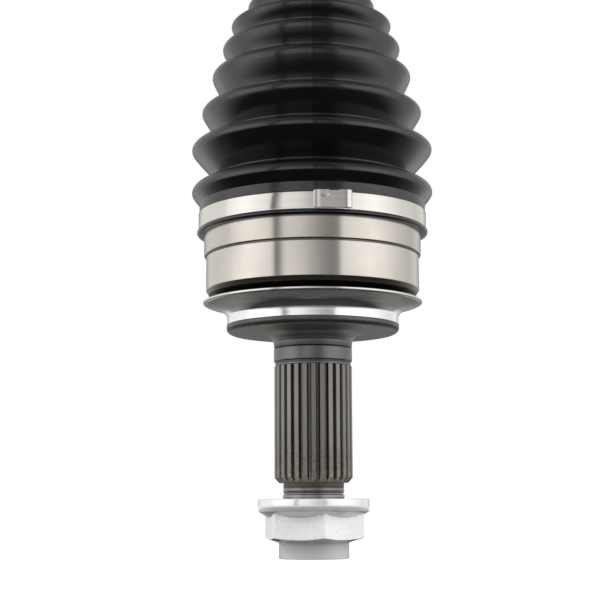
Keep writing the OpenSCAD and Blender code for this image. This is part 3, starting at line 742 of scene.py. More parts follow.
class Lathe:
    """Geometry Nodes tree that turns a closed outline round the axis.

    The object under the modifier holds the outline's points, with the radius as X and the
    height as Z. The tree lays a grid over outline and turn, wraps it round the axis, adds
    the mould's parting line at front and back and a slow unevenness, and merges the seam.
    """

    SOCKETS = (
        ("Geometry", "INPUT", "NodeSocketGeometry"),
        ("Steps Round", "INPUT", "NodeSocketInt"),
        ("Parting Line", "INPUT", "NodeSocketFloat"),
        ("Unevenness", "INPUT", "NodeSocketFloat"),
        ("Finish", "INPUT", "NodeSocketMaterial"),
        ("Geometry", "OUTPUT", "NodeSocketGeometry"),
    )

    # Width of the parting line as a cosine, and the distance in metres that is welded
    LINE = 0.02
    WELD = 1e-6

    def __init__(self) -> None:
        """Build the tree and its named inputs."""
        self.tree = bpy.data.node_groups.new("turned_outline", "GeometryNodeTree")
        for name, side, kind in self.SOCKETS:
            self.tree.interface.new_socket(name, in_out=side, socket_type=kind)
        given = add_node(self.tree, "NodeGroupInput").outputs
        self._dress(*self._wrap(given), given["Finish"])

    def _wrap(self, given: bpy.types.NodeOutputs) -> tuple[Socket, Socket]:
        """Lay the grid over outline and turn.

        Args:
            given: The tree's inputs.

        Returns:
            The flat grid, and the place of each of its points on the piece.
        """
        tree = self.tree
        outline, steps = given["Geometry"], given["Steps Round"]
        feeds = {"component": "MESH", "Geometry": outline}
        size = add_node(tree, "GeometryNodeAttributeDomainSize", feeds)
        count = size.outputs["Point Count"]
        rows, columns = calc(tree, "ADD", count, 1.0), calc(tree, "ADD", steps, 1.0)
        feeds = {"Size X": 1.0, "Size Y": 1.0, "Vertices X": rows, "Vertices Y": columns}
        grid = add_node(tree, "GeometryNodeMeshGrid", feeds).outputs["Mesh"]
        index = add_node(tree, "GeometryNodeInputIndex").outputs["Index"]
        row = calc(tree, "FLOOR", calc(tree, "DIVIDE", index, columns))
        column = calc(tree, "MODULO", index, columns)
        corner = add_node(
            tree,
            "GeometryNodeSampleIndex",
            {
                "data_type": "FLOAT_VECTOR",
                "domain": "POINT",
                "Geometry": outline,
                "Value": add_node(tree, "GeometryNodeInputPosition").outputs["Position"],
                "Index": calc(tree, "MODULO", row, count),
            },
        )
        corner = split(tree, corner.outputs["Value"])
        turn = calc(tree, "MULTIPLY", calc(tree, "DIVIDE", column, steps), math.tau)
        cosine, sine = calc(tree, "COSINE", turn), calc(tree, "SINE", turn)
        on_line = remap(tree, calc(tree, "ABSOLUTE", cosine), 0.0, self.LINE)
        waves = noise(tree, join(tree, cosine, sine, corner["Z"]), 2.2, 1.0)
        uneven = calc(tree, "MULTIPLY", waves, given["Unevenness"])
        inward = calc(tree, "MULTIPLY_ADD", on_line, given["Parting Line"], uneven)
        radius = calc(tree, "SUBTRACT", corner["X"], inward)
        along_x = calc(tree, "MULTIPLY", radius, cosine)
        along_y = calc(tree, "MULTIPLY", radius, sine)
        return grid, join(tree, along_x, along_y, corner["Z"])

    def _dress(self, shape: Socket, place: Socket, finish: Socket) -> None:
        """Bend the grid into the piece, close it and give it its creases and finish.

        Args:
            shape: The flat grid.
            place: The place of each of its points on the piece.
            finish: The material.
        """
        tree = self.tree
        bend = add_node(tree, "GeometryNodeInputMeshEdgeAngle").outputs["Unsigned Angle"]
        feeds = {"data_type": "FLOAT", "operation": "GREATER_THAN"}
        feeds |= {"A": bend, "B": math.radians(CREASE)}
        sharp = add_node(tree, "FunctionNodeCompare", feeds).outputs["Result"]
        for kind, feeds in (
            ("GeometryNodeSetPosition", {"Position": place}),
            ("GeometryNodeMergeByDistance", {"Distance": self.WELD}),
            ("GeometryNodeSetShadeSmooth", {"domain": "FACE"}),
            (
                "GeometryNodeSetShadeSmooth",
                {"domain": "EDGE", "Shade Smooth": False, "Selection": sharp},
            ),
            ("GeometryNodeRealizeInstances", {}),
            ("GeometryNodeSetMaterial", {"Material": finish}),
        ):
            node = add_node(tree, kind, {**feeds, "Geometry": shape})
            shape = node.outputs["Geometry"]
        add_node(tree, "NodeGroupOutput", {"Geometry": shape})

    def turn(
        self,
        name: str,
        outline: Sequence[Point],
        material: Material,
        steps: int,
        parting: float = 0.0,
        unevenness: float = 0.0,
    ) -> Piece:
        """Turn a closed outline into a piece.

        Args:
            name: Name of the piece.
            outline: Radius and height of each corner, anticlockwise, in millimetres.
            material: Material of the whole piece.
            steps: Faces round the axis.
            parting: Depth of the mould's parting line.
            unevenness: Most that the skin lies below the outline.

        Returns:
            The finished object, with a plain mesh and no modifier.
        """
        mesh = bpy.data.meshes.new(name)
        mesh.from_pydata([(r * MM, 0.0, z * MM) for r, z in outline], [], [])
        piece = place_mesh(name, mesh)
        modifier = piece.modifiers.new("lathe", "NODES")
        modifier.node_group = self.tree
        values = {
            "Steps Round": steps,
            "Parting Line": parting * MM,
            "Unevenness": unevenness * MM,
            "Finish": material,
        }
        for item in self.tree.interface.items_tree:
            if item.item_type == "SOCKET" and item.name in values:
                modifier[item.identifier] = values[item.name]
        return outward(settle(piece))


def softened(points: Sequence[Point], reach: float, bend: float, gap: float) -> list[Point]:
    """Round an open outline's corners and keep only the points that its bends need.

    Args:
        points: The outline, in millimetres.
        reach: Length along the outline over which each point is averaged.
        bend: Most that the outline may turn between two kept points, in degrees.
        gap: Most that they may lie apart.

    Returns:
        The rounded outline, with the same two ends.
    """
    step = 0.1
    fine: list[Point] = []
    for a, b in zip(points, points[1:]):
        parts = max(1, round(math.dist(a, b) / step))
        fine += [
            (a[0] + (b[0] - a[0]) * k / parts, a[1] + (b[1] - a[1]) * k / parts)
            for k in range(parts)
        ]
    fine.append(points[-1])
    last = len(fine) - 1
    smooth: list[Point] = []
    for i in range(last + 1):
        span = min(round(reach / step / 2), i, last - i)
        near = fine[i - span : i + span + 1]
        smooth.append(tuple(sum(p[axis] for p in near) / len(near) for axis in (0, 1)))

    def heading(i: int) -> float:
        """Direction of the rounded outline at a point, in radians."""
        a, b = smooth[max(0, i - 1)], smooth[min(last, i + 1)]
        return math.atan2(b[1] - a[1], b[0] - a[0])

    kept, mark = [smooth[0]], heading(0)
    for i in range(1, last):
        turned = abs(math.remainder(heading(i) - mark, math.tau))
        if turned > math.radians(bend) or math.dist(smooth[i], kept[-1]) > gap:
            kept.append(smooth[i])
            mark = heading(i)
    kept.append(smooth[-1])
    return kept


def part_at(skin: Sequence[Point], z: float) -> tuple[list[Point], list[Point]]:
    """Part one skin of a boot at a height.

    Args:
        skin: Outline that passes the height once.
        z: The height.

    Returns:
        The piece before and the piece after it, which share the point at the height.
    """
    for i, (a, b) in enumerate(zip(skin, skin[1:])):
        if (a[1] - z) * (b[1] - z) < 0:
            share = (z - a[1]) / (b[1] - a[1])
            spot = (a[0] + (b[0] - a[0]) * share, z)
            return [*skin[: i + 1], spot], [spot, *skin[i + 1 :]]
    raise ValueError(f"the skin does not pass {z}")


@dataclass
class Bellows:
    """Row of folds between two ends, widest at its crests.

    The crests are radius and height, and the dips between them are radius and share of
    the way to the next crest. Each flank leaves its valley as a cone and rounds over into
    the crest, the flank towards the cuff more than the one towards the rim.
    """

    start: Point
    crests: tuple[Point, ...]
    dips: tuple[Point, ...]
    end: Point
    wall: float = 1.8
    wide_flank: float = 1.12
    narrow_flank: float = 2.7
    parts: int = 12
    gap: float = 3.0

    def valleys(self) -> list[Point]:
        """Place the valleys between the crests."""
        return [
            (r, a[1] + (b[1] - a[1]) * share)
            for (r, share), a, b in zip(self.dips, self.crests, self.crests[1:])
        ]

    def skin(self, inset: float, reach: float, bend: float) -> list[Point]:
        """Draw one skin of the folds.

        Args:
            inset: Distance of this skin inside the outer one.
            reach: How far its corners are rounded.
            bend: Most that it turns between two points, in degrees.

        Returns:
            Its points, from start to end.
        """
        points: list[Point] = []
        ends = [self.start, *self.valleys(), self.end]
        turns = [math.pi / 2 * i / self.parts for i in range(self.parts + 1)]
        rise = [math.sin(turn) for turn in turns]
        inward, sideways = 0.7 * inset, 0.8 * inset
        for crest, low, high in zip(self.crests, ends, ends[1:]):
            lean = math.copysign(sideways, high[1] - low[1])
            peak = crest[0] - inset
            for base, z, power, shares in (
                (low[0] - inward, low[1] + lean, self.wide_flank, rise),
                (high[0] - inward, high[1] - lean, self.narrow_flank, rise[-2::-1]),
            ):
                points += [
                    (base + (peak - base) * (1 - (1 - u) ** power), z + (crest[1] - z) * u)
                    for u in shares
                ]
        return softened(points, reach, bend, self.gap)


@dataclass
class Boot:
    """A moulded bellows boot: rim and band seat, land, folds, neck and cuff.

    It is made as two pieces that meet on a flank, one for each joint that it covers. A
    half's bend is the two bodies that it lies between, each with the height from which
    the half follows it, or nothing for the seam.
    """

    name: str
    node: str
    bellows: Bellows
    rim: tuple[Point, ...]
    rim_inside: tuple[Point, ...]
    cuff: tuple[Point, ...]
    split: int
    rim_bend: tuple[tuple[Body, float | None], ...]
    cuff_bend: tuple[tuple[Body, float | None], ...]
    steps: int = 300
    past_valley: float = 0.35
    parting: float = 0.2
    unevenness: float = 0.1

    @property
    def seam(self) -> float:
        """Height where the halves meet, on the flank just past a valley."""
        valley = self.bellows.valleys()[self.split - 1][1]
        crest = self.bellows.crests[self.split][1]
        return valley + self.past_valley * (crest - valley)

    def outlines(self) -> tuple[list[Point], list[Point]]:
        """Draw the closed outlines of the rim half and the cuff half."""
        outer = self.bellows.skin(0.0, reach=2.4, bend=8.0)
        inner = self.bellows.skin(self.bellows.wall, reach=3.0, bend=20.0)
        rim_outer, cuff_outer = part_at(outer, self.seam)
        rim_inner, cuff_inner = part_at(inner, self.seam)
        rim_half = [*self.rim, *rim_outer, *reversed(rim_inner), *self.rim_inside]
        cuff_half = [*cuff_outer, *self.cuff, *reversed(cuff_inner)]
        return rim_half, cuff_half

    def build(self, lathe: Lathe, shelf: MaterialShelf) -> list[Piece]:
        """Make both halves and dress them.

        Args:
            lathe: Turns the outlines.
            shelf: Hands out the materials.

        Returns:
            The two pieces.
        """
        material = shelf.get(BOOT_ELASTOMER)
        rim_half, cuff_half = self.outlines()
        made = []
        for part, outline, bend in (
            ("rim_half", rim_half, self.rim_bend),
            ("cuff_half", cuff_half, self.cuff_bend),
        ):
            name, mould = f"{self.name}_{part}", (self.parting, self.unevenness)
            piece = lathe.turn(name, outline, material, self.steps, *mould)
            start, end = (
                (0.0, 0.0, (self.seam if z is None else z) * MM) for _, z in bend
            )
            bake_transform(piece)
            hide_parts(self.node)
            made.append(piece)
        return made


@dataclass
class LatchBand:
    """Low-profile clamp band: a strip round the boot, closed by a folded latch.

    The latch is drawn in plan as lengths along the band from its middle, seen from
    outside with the positive side to the right, and heights over the strip. The notch in
    its upper edge is start, stop and depth, and the tool's dent is middle, distance under
    that edge, half length and half height. A flat of 1 makes the plate flat, and with 0 it
    follows the strip.
    """

    name: str
    node: str
    body: Body
    seat: float
    low: float
    width: float
    latch_angle: float
    flat: float = 1.0
    strip: float = 0.8
    corner: float = 0.22
    sheet: float = 0.5
    latch_length: float = 14.8
    lip: float = 0.45
    foot: float = 0.35
    rows: int = 36
    end_reach: float = 0.9
    end_drop: float = 0.28
    least_lift: float = 0.02
    worn: float = 0.12
    notch: tuple[float, float, float] = (-1.5, 2.0, 0.26)
    dent: tuple[float, float, float, float] = (-3.2, 1.95, 1.75, 0.75)
    plan: tuple[Point, ...] = (
        *((-7.38, 0.08), (-7.26, 0.24), (-7.0, 0.31), (-6.0, 0.4), (-5.7, 0.48)),
        *((-5.35, 0.72), (-5.1, 0.82), (4.1, 1.92), (4.6, 1.95), (5.2, 1.9)),
        *((5.8, 1.74), (6.4, 1.44), (6.9, 0.98), (7.25, 0.45), (7.38, 0.05)),
    )

    @property
    def hoop(self) -> float:
        """Radius of the strip's inner face."""
        return self.seat + 0.05

    @property
    def tail(self) -> float:
        """Radius of the strip's outer face."""
        return self.hoop + self.strip

    def hoop_outline(self) -> list[Point]:
        """Draw the strip's section, its corners rounded."""
        inner, outer = self.hoop + self.corner, self.tail - self.corner
        low, high = self.low + self.corner, self.low + self.width - self.corner
        return [
            (
                r + self.corner * math.cos(math.radians(first + turn)),
                z + self.corner * math.sin(math.radians(first + turn)),
            )
            for r, z, first in (
                (inner, low, 180),
                (outer, low, 270),
                (outer, high, 0),
                (inner, high, 90),
            )
            for turn in (0, 30, 60, 90)
        ]

    def pressed(self, along: float, below: float) -> float:
        """Depth of the tool's mark in the latch's plate.

        Args:
            along: Length along the band from the latch's middle.
            below: Distance under the plate's upper edge.

        Returns:
            How far the plate is pressed in, deepest just above the mark's lower edge.
        """
        middle, under, half_length, half_height = self.dent
        depth, slope, steepness = 0.3, 0.14, 14
        x = (along - middle) / half_length
        y = (below - under + slope * (along - middle)) / half_height
        leaf = 1 - x * x
        if leaf <= 0 or abs(y) > leaf:
            return 0.0
        rise = (y / leaf + 1) / 2
        return depth * leaf * (rise**1.5) * min(1.0, (1 - rise) * steepness)

    def column(self, along: float, height: float, lift: float) -> list[Place]:
        """Draw one upright line of the latch's sheet, rounded in at its two ends.

        Args:
            along: Length along the band from the latch's middle.
            height: Height of the plan over the strip there.
            lift: How far under the plan the line lies.

        Returns:
            Places in metres, from the lower edge to the upper one.
        """
        bottom, top = self.low + self.foot, self.low + self.width + self.lip
        start, stop, drop = self.notch
        high = top - (drop if start < along < stop else 0.0)
        from_end = (self.latch_length / 2 - abs(along)) / self.end_reach
        corner = self.end_drop * (1 - min(1.0, max(0.0, from_end))) ** 2
        turn = along / self.tail
        places = []
        for j in range(self.rows + 1):
            z = bottom + corner + (high - bottom - 2 * corner) * j / self.rows
            r = (self.tail + height) / math.cos(turn) ** self.flat
            r -= lift + self.pressed(along, top - z)
            angle = math.radians(self.latch_angle) + turn
            places.append(polar(max(r, self.tail + self.least_lift), angle, z))
        return places

    def latch(self, material: Material) -> Piece:
        """Fold the latch's sheet over the strip.

        Args:
            material: The band's material.

        Returns:
            The finished object.
        """
        plan = softened(self.plan, reach=0.24, bend=6.0, gap=0.22)
        grown = bmesh.new()
        over, under = (
            [
                [grown.verts.new(place) for place in self.column(along, height, lift)]
                for along, height in plan
            ]
            for lift in (0.0, self.sheet)
        )
        last = len(plan) - 1
        for i in range(last):
            for j in range(self.rows):
                for sheet in (over, under):
                    here, there = sheet[i], sheet[i + 1]
                    grown.faces.new((here[j], there[j], there[j + 1], here[j + 1]))
            for j in (0, self.rows):
                grown.faces.new((under[i][j], under[i + 1][j], over[i + 1][j], over[i][j]))
        for i in (0, last):
            for j in range(self.rows):
                grown.faces.new((under[i][j], under[i][j + 1], over[i][j + 1], over[i][j]))
        piece = place_grown(f"{self.name}_latch", grown, CREASE, [material])
        bevel = piece.modifiers.new("worn_edges", "BEVEL")
        bevel.width = self.worn * MM
        bevel.segments = 2
        bevel.limit_method = "ANGLE"
        bevel.angle_limit = math.radians(60)
        return settle(piece)

    def build(self, lathe: Lathe, shelf: MaterialShelf) -> list[Piece]:
        """Make the strip and its latch and seat them on their body.

        Args:
            lathe: Turns the strip.
            shelf: Hands out the materials.

        Returns:
            The two pieces.
        """
        material = shelf.get(BAND_STAINLESS)
        name, outline = f"{self.name}_strip", self.hoop_outline()
        strip = lathe.turn(name, outline, material, RING_STEPS)
        return mount([strip, self.latch(material)], self.body, self.node)


@dataclass
class DustSlinger:
    """Pressed sheet ring: a band on the race that flares into a flange with a cut rim.

    The flare is distance out from the band and height, and the rim radius and height.
    """

    band: float = 33.3
    sheet: float = 1.05
    low: float = 9.15
    crease: float = 13.2
    flare: tuple[Point, ...] = (
        *((0.0, 11.2), (0.0, 13.2), (0.16, 13.45), (0.45, 13.95), (1.1, 14.75)),
        *((2.1, 15.6), (3.5, 16.4), (5.4, 17.1), (7.3, 17.6), (8.2, 17.8)),
    )
    rim: tuple[Point, ...] = (
        *((42.85, 17.85), (43.0, 17.9), (43.1, 18.15), (43.55, 18.2), (43.95, 18.3)),
        *((44.0, 18.45), (44.0, 18.95), (43.85, 19.1), (43.1, 19.1)),
    )

    def build(self, lathe: Lathe, shelf: MaterialShelf) -> list[Piece]:
        """Turn the ring and seat it on the race.

        Args:
            lathe: Turns the outline.
            shelf: Hands out the materials.

        Returns:
            The piece.
        """
        outer, edge = self.band + self.sheet, 0.15
        under = [(outer - edge, self.low), (outer, self.low + edge)]
        under += [(outer + out, z) for out, z in self.flare]
        over = [(self.band + out, z + self.sheet) for out, z in self.flare[:-1]]
        outline = [*under, *self.rim, *reversed(over), (self.band, self.low)]
        steel = shelf.get(SLINGER_STEEL)
        piece = lathe.turn("dust_slinger_ring", outline, steel, RING_STEPS)
        # The band below the crease takes the whiter material, a painted highlight
        piece.data.materials.append(shelf.get(SLINGER_BAND_HIGHLIGHT))
        for face in piece.data.polygons:
            if face.center.z < self.crease * MM:
                face.material_index = len(piece.data.materials) - 1
        return mount([piece], Body.WHEEL_SIDE, "dust_slinger")


@dataclass
class FlangeNut:
    """Flanged hexagon nut with a thin collar.

    The flange's underside and the lower chamfer are cones, so each cuts the six flats
    in arcs that dip in their middle.
    """

    FLAT_ROWS = (10, 11)

    flats: float = 36.0
    corner: float = 20.55
    corner_angle: float = -79.4
    flange: float = 21.95
    collar: float = 13.98
    bore: float = 12.15
    seat: float = -59.4
    flange_low: float = -63.9
    hex_low: float = -74.35
    end: float = -82.5
    chamfer_start: float = 20.75
    chamfer_slope: float = 0.29
    flange_slope: float = 0.6
    crease: float = 24.0

    def across(self, angle: float) -> float:
        """Radius of the hexagon at an angle from one of its corners, in degrees."""
        off_flat = (angle % 60.0) - 30.0
        return min(self.corner, self.flats / 2 / math.cos(math.radians(off_flat)))

    def column(self, angle: float) -> list[Point]:
        """Draw the closed outline at one angle.

        Args:
            angle: Degrees from a corner.

        Returns:
            Radius and height of its points, of which FLAT_ROWS start the flat's faces.
        """
        reach = self.across(angle)
        flange, low = self.flange, self.flange_low
        top = low - 0.5 - (flange - 0.4 - reach) * self.flange_slope
        foot = self.hex_low - (self.chamfer_start - reach) * self.chamfer_slope
        inset = self.chamfer_start - self.collar - 0.1
        neck = self.hex_low - inset * self.chamfer_slope
        return [
            (self.bore + 1.1, self.seat),
            (self.bore, self.seat - 1.1),
            (self.bore, self.end + 0.8),
            (self.bore + 0.6, self.end),
            (self.collar - 0.4, self.end),
            (self.collar - 0.08, self.end + 0.12),
            (self.collar, self.end + 0.4),
            (self.collar, neck - 0.25),
            (self.collar + 0.1, neck),
            (reach - 0.06, foot - 0.02),
            (reach, foot + 0.04),
            (reach, (top + foot) / 2),
            (reach, top - 0.04),
            (reach + 0.06, top + 0.03),
            (flange - 0.4, low - 0.5),
            (flange - 0.12, low - 0.3),
            (flange, low),
            (flange, self.seat - 0.45),
            (flange - 0.12, self.seat - 0.14),
            (flange - 0.45, self.seat),
        ]

    def angles(self) -> list[float]:
        """List the turns from a corner, close together and exact at each cut corner."""
        half = math.degrees(math.acos(self.flats / 2 / self.corner))
        steps = (0.0, 30.0 - half, *(4.0 + 4.0 * i for i in range(14)), 30.0 + half)
        return sorted(60.0 * side + step for side in range(6) for step in steps)

    def build(self, shelf: MaterialShelf) -> list[Piece]:
        """Skin the outlines, dress flats and collar apart from the rest, and seat the nut.

        Args:
            shelf: Hands out the materials.

        Returns:
            The piece.
        """
        collar_top = (self.hex_low - 0.5) * MM
        grown = bmesh.new()
        rings = []
        for angle in self.angles():
            turn = math.radians(self.corner_angle + angle)
            rings.append(
                [grown.verts.new(polar(r, turn, z)) for r, z in self.column(angle)]
            )
        count = len(rings[0])
        for here, there in zip(rings, rings[1:] + rings[:1]):
            for i in range(count):
                j = (i + 1) % count
                face = grown.faces.new((here[i], there[i], there[j], here[j]))
                face.material_index = int(i in self.FLAT_ROWS)
                if max(vert.co.z for vert in face.verts) < collar_top:
                    face.material_index = 2
        finishes = [shelf.get(each) for each in (NUT_ZINC, NUT_BLASTED, NUT_COLLAR)]
        piece = place_grown("axle_nut_forged", grown, self.crease, finishes)
        return mount([piece], Body.NUT, "axle_nut")


@dataclass
class JointCovers:
    """What closes one joint of the shaft: a boot and its two bands."""

    boot: Boot
    bands: tuple[LatchBand, LatchBand]

    def build(self, lathe: Lathe, shelf: MaterialShelf) -> list[Piece]:
        """Make the boot and its bands.

        Args:
            lathe: Turns what is round.
            shelf: Hands out the materials.

        Returns:
            Their pieces.
        """
        pieces = self.boot.build(lathe, shelf)
        for band in self.bands:
            pieces += band.build(lathe, shelf)
        return pieces


def large_band(name: str, node: str, body: Body, seat: float, low: float) -> LatchBand:
    """Lay out the band on a boot's rim."""
    return LatchBand(name, node, body, seat, low, width=6.8, latch_angle=-80.6)


def cuff_band(name: str, node: str, low: float) -> LatchBand:
    """Lay out the band on a boot's cuff, whose latch follows the strip."""
    sizes = {"seat": 15.0, "width": 6.4, "latch_angle": -40.0, "flat": 0.0}
    return LatchBand(name, node, Body.SHAFT, low=low, **sizes)


def cuff_outline(neck: float, out: int) -> tuple[Point, ...]:
    """Draw a boot's cuff: neck, the bead before the band, its seat, the bead after it.

    Args:
        neck: Height of the cuff's start.
        out: 1 where the cuff rises from there and -1 where it falls.

    Returns:
        Radius and height of its points, from the folds round to the inside.
    """
    return tuple(
        (r, neck + out * z)
        for r, z in (
            *((15.5, 0.0), (15.5, 4.0), (15.0, 4.0), (15.0, 10.4), (15.5, 10.4)),
            *((15.5, 17.4), (14.9, 18.0), (12.55, 18.0), (12.55, 0.0)),
        )
    )


WHEEL_JOINT = JointCovers(
    Boot(
        name="wheel_boot",
        node="outer_boot",
        bellows=Bellows(
            start=(46.0, 58.8),
            crests=(
                *((49.15, 62.9), (49.25, 80.6), (45.2, 96.3), (41.0, 111.5)),
                *((36.8, 123.6), (33.3, 133.8), (26.4, 141.8)),
            ),
            dips=(
                *((39.2, 0.36), (38.7, 0.37), (35.8, 0.33)),
                *((33.1, 0.42), (29.7, 0.43), (24.2, 0.43)),
            ),
            end=(17.0, 146.9),
        ),
        rim=(
            *((43.9, 46.8), (44.4, 46.35), (46.2, 46.35), (46.65, 46.55)),
            *((46.9, 46.95), (46.9, 47.4), (46.7, 47.8), (46.2, 48.05)),
            *((45.2, 48.1), (45.2, 54.9), (45.9, 55.0), (46.0, 55.25)),
        ),
        rim_inside=((43.9, 57.9),),
        cuff=cuff_outline(148.9, 1),
        split=5,
        rim_bend=((Body.SWING, None), (Body.WHEEL_SIDE, 59.5)),
        cuff_bend=((Body.SHAFT, 147.5), (Body.SWING, None)),
    ),
    (
        large_band("race_band", "outer_boot_large_clamp", Body.WHEEL_SIDE, 45.2, 48.1),
        cuff_band("wheel_cuff_band", "outer_boot_small_clamp", 152.9),
    ),
)
GEARBOX_JOINT = JointCovers(
    Boot(
        name="gearbox_boot",
        node="inner_boot",
        bellows=Bellows(
            start=(41.85, 353.9),
            crests=(
                *((44.6, 345.4), (43.4, 332.4), (38.8, 319.9)),
                *((34.2, 308.4), (29.6, 298.1), (25.0, 289.3)),
            ),
            dips=((36.0, 0.4), (33.6, 0.4), (30.0, 0.4), (26.4, 0.4), (22.3, 0.4)),
            end=(17.0, 283.9),
        ),
        rim=(
            *((40.25, 369.8), (40.85, 370.4), (41.6, 370.4), (42.1, 370.1)),
            *((42.4, 369.4), (42.4, 368.5), (42.1, 368.1), (42.4, 367.7)),
            *((42.4, 366.7), (41.75, 365.7), (41.55, 365.7), (41.55, 358.9)),
            *((41.8, 358.8), (41.85, 358.5)),
        ),
        rim_inside=((40.25, 352.6),),
        cuff=cuff_outline(281.9, -1),
        split=4,
        rim_bend=((Body.GEARBOX_SIDE, 352.0), (Body.CARRIAGE, None)),
        cuff_bend=((Body.CARRIAGE, None), (Body.SHAFT, 283.0)),
    ),
    (
        large_band(
            "housing_band", "inner_boot_large_clamp", Body.GEARBOX_SIDE, 41.55, 358.9
        ),
        cuff_band("gearbox_cuff_band", "inner_boot_small_clamp", 271.5),
    ),
)


@dataclass(frozen=True)
class SoftBox:
    """Soft box, placed and sized in metres, that lights the part but isn't mirrored."""

    name: str
    spot: Vector
    aim: Vector
    width: float
    length: float
    watts: float

    def hang(self) -> None:
        """Put the lamp into the scene."""
        data = bpy.data.lights.new(self.name, "AREA")
        data.shape = "RECTANGLE"
        data.size, data.size_y = self.width, self.length
        data.energy = self.watts
        lamp = bpy.data.objects.new(self.name, data)
        lamp.visible_glossy = False
        bpy.context.scene.collection.objects.link(lamp)
        turn = (self.aim - self.spot).to_track_quat("-Z", "Y").to_matrix().to_4x4()
        lamp.matrix_world = Matrix.Translation(self.spot) @ turn


@dataclass
class Studio:
    """Camera, soft boxes, world and floor of the photograph's studio."""

    # Camera and floor are placed in millimetres and degrees, the soft boxes in metres
    camera_at: Place = (-5.1, -576.0, -63.8)
    camera_tilt: float = 8.3
    camera_roll: float = -0.25
    focal_px: float = 1443.0
    frame_px: float = 600.0
    floor_z: float = -82.7
    box_away: float = 0.85
    box_height: float = 0.24

    # Degrees from the camera round the axis, and how bright the room is there
    levels: tuple[Point, ...] = (
        *((-180, 0.3), (-166, 0.32), (-145, 0.85), (-106, 0.88), (-97, 0.92)),
        *((-94, 1.1), (-74, 1.3), (-55, 1.15), (-42, 1.0), (-41, 0.12)),
        *((-37.5, 0.15), (-29.5, 1.0), (-14, 0.88), (-2, 0.6), (10, 0.38)),
        *((20, 0.28), (28.4, 0.3), (29.4, 1.0), (45, 1.12), (64, 1.3), (84, 1.1)),
        *((98, 0.88), (125, 0.7), (145, 0.85), (166, 0.32), (180, 0.3)),
    )

    def camera(self) -> None:
        """Set the camera at the photograph's viewing angle."""
        data = bpy.data.cameras.new("camera")
        data.sensor_width = 36.0
        data.lens = self.focal_px / self.frame_px * data.sensor_width
        data.clip_start = 0.01
        data.clip_end = 20.0
        camera = bpy.data.objects.new("camera", data)
        bpy.context.scene.collection.objects.link(camera)
        turn = Matrix.Rotation(math.radians(90 + self.camera_tilt), 4, "X")
        roll = Matrix.Rotation(math.radians(self.camera_roll), 4, "Z")
        spot = Matrix.Translation(Vector(self.camera_at) * MM)
        camera.matrix_world = spot @ turn @ roll
        bpy.context.scene.camera = camera

    def lamps(self) -> None:
        """Hang the soft boxes at both sides and one above."""
        aim = Vector((0.0, 0.0, self.box_height))
        for name, angle, width, watts in (
            ("box_left", -68.0, 0.6, 16.5),
            ("box_right", 62.0, 0.64, 17.5),
        ):
            turn = math.radians(angle)
            spot = Vector((math.sin(turn), -math.cos(turn), 0.0)) * self.box_away
            spot.z = self.box_height
            SoftBox(name, spot, aim, width, 1.5, watts).hang()
        spot, aim = Vector((0.0, -0.55, 1.15)), Vector((0.0, 0.0, 0.15))
        SoftBox("box_above", spot, aim, 0.9, 0.5, 6.0).hang()

    def bands(self, tree: Tree, way: Socket) -> Socket:
        """Lay the bright and dark bands of the room round the axis, for reflections.

        Args:
            tree: World or material tree.
            way: Direction from the axis.

        Returns:
            The light that comes from there, as a grey.
        """
        at = split(tree, way)
        toward = calc(tree, "MULTIPLY", at["Y"], -1.0)
        azimuth = calc(tree, "ARCTAN2", at["X"], toward)
        share = remap(tree, azimuth, -math.pi, math.pi)
        stops = [((a + 180) / 360, (v, v, v, 1.0)) for a, v in self.levels]
        return ramp(tree, share, stops)

    def world(self) -> None:
        """Paint the world white for the camera, with the room's bands for reflections."""
        world = bpy.data.worlds.new("studio")
        bpy.context.scene.world = world
        tree = cleared(world)
        white, ambient = (1.0, 1.0, 1.0, 1.0), (0.2, 0.2, 0.2, 1.0)
        way = add_node(tree, "ShaderNodeTexCoord").outputs["Generated"]
        dim = remap(tree, split(tree, way)["Z"], 0.42, 0.85, 1.0, 0.3)
        bands = scaled(tree, self.bands(tree, way), dim)
        path = add_node(tree, "ShaderNodeLightPath").outputs
        seen = calc(tree, "MAXIMUM", path["Is Glossy Ray"], path["Is Transmission Ray"])
        room = mix(tree, "RGBA", seen, ambient, bands)
        shown = mix(tree, "RGBA", path["Is Camera Ray"], room, white)
        light = add_node(tree, "ShaderNodeBackground", {"Strength": 1.0, "Color": shown})
        feeds = {"Surface": light.outputs["Background"]}
        add_node(tree, "ShaderNodeOutputWorld", feeds)

    def mirrored(self, tree: Tree, place: Socket, away: Socket) -> Socket:
        """Work out how bright the floor looks in the part's polished steel.

        Far from the part it is as bright as the room behind it. Close by, the part shades
        it, less at its sides and behind it than in front, and least of all at the nut.

        Args:
            tree: The floor's tree.
            place: Object coordinates, in metres.
            away: Distance from the axis.

        Returns:
            The floor's light for glossy rays.
        """
        toward = calc(tree, "DIVIDE", split(tree, place)["Y"], away)
        sheen = add_node(tree, "ShaderNodeFresnel", {"IOR": 1.45}).outputs["Fac"]
        grazing, far, by_nut, close, beside, behind, ahead, past = (
            remap(tree, *ends)
            for ends in (
                (sheen, 0.6, 0.8),
                (away, 0.33, 0.6),
                (away, 0.024, 0.032, 0.8, 0.0),
                (away, 0.068, 0.085, 1.0, 0.0),
                (toward, -0.9, -0.45, 0.02, 0.75),
                (toward, 0.0, 0.5, 0.01, 0.28),
                (toward, 0.0, 0.4, 1.0, 0.03),
                (toward, 0.86, 0.97, 1.0, 0.05),
            )
        )
        sides = calc(tree, "MULTIPLY", beside, ahead)
        back = calc(tree, "MULTIPLY", behind, past)
        near = calc(tree, "MULTIPLY_ADD", close, sides, back)
        near = calc(tree, "MAXIMUM", near, by_nut)
        room = mix(tree, "FLOAT", far, near, self.bands(tree, place))
        return mix(tree, "FLOAT", grazing, room, 0.85)

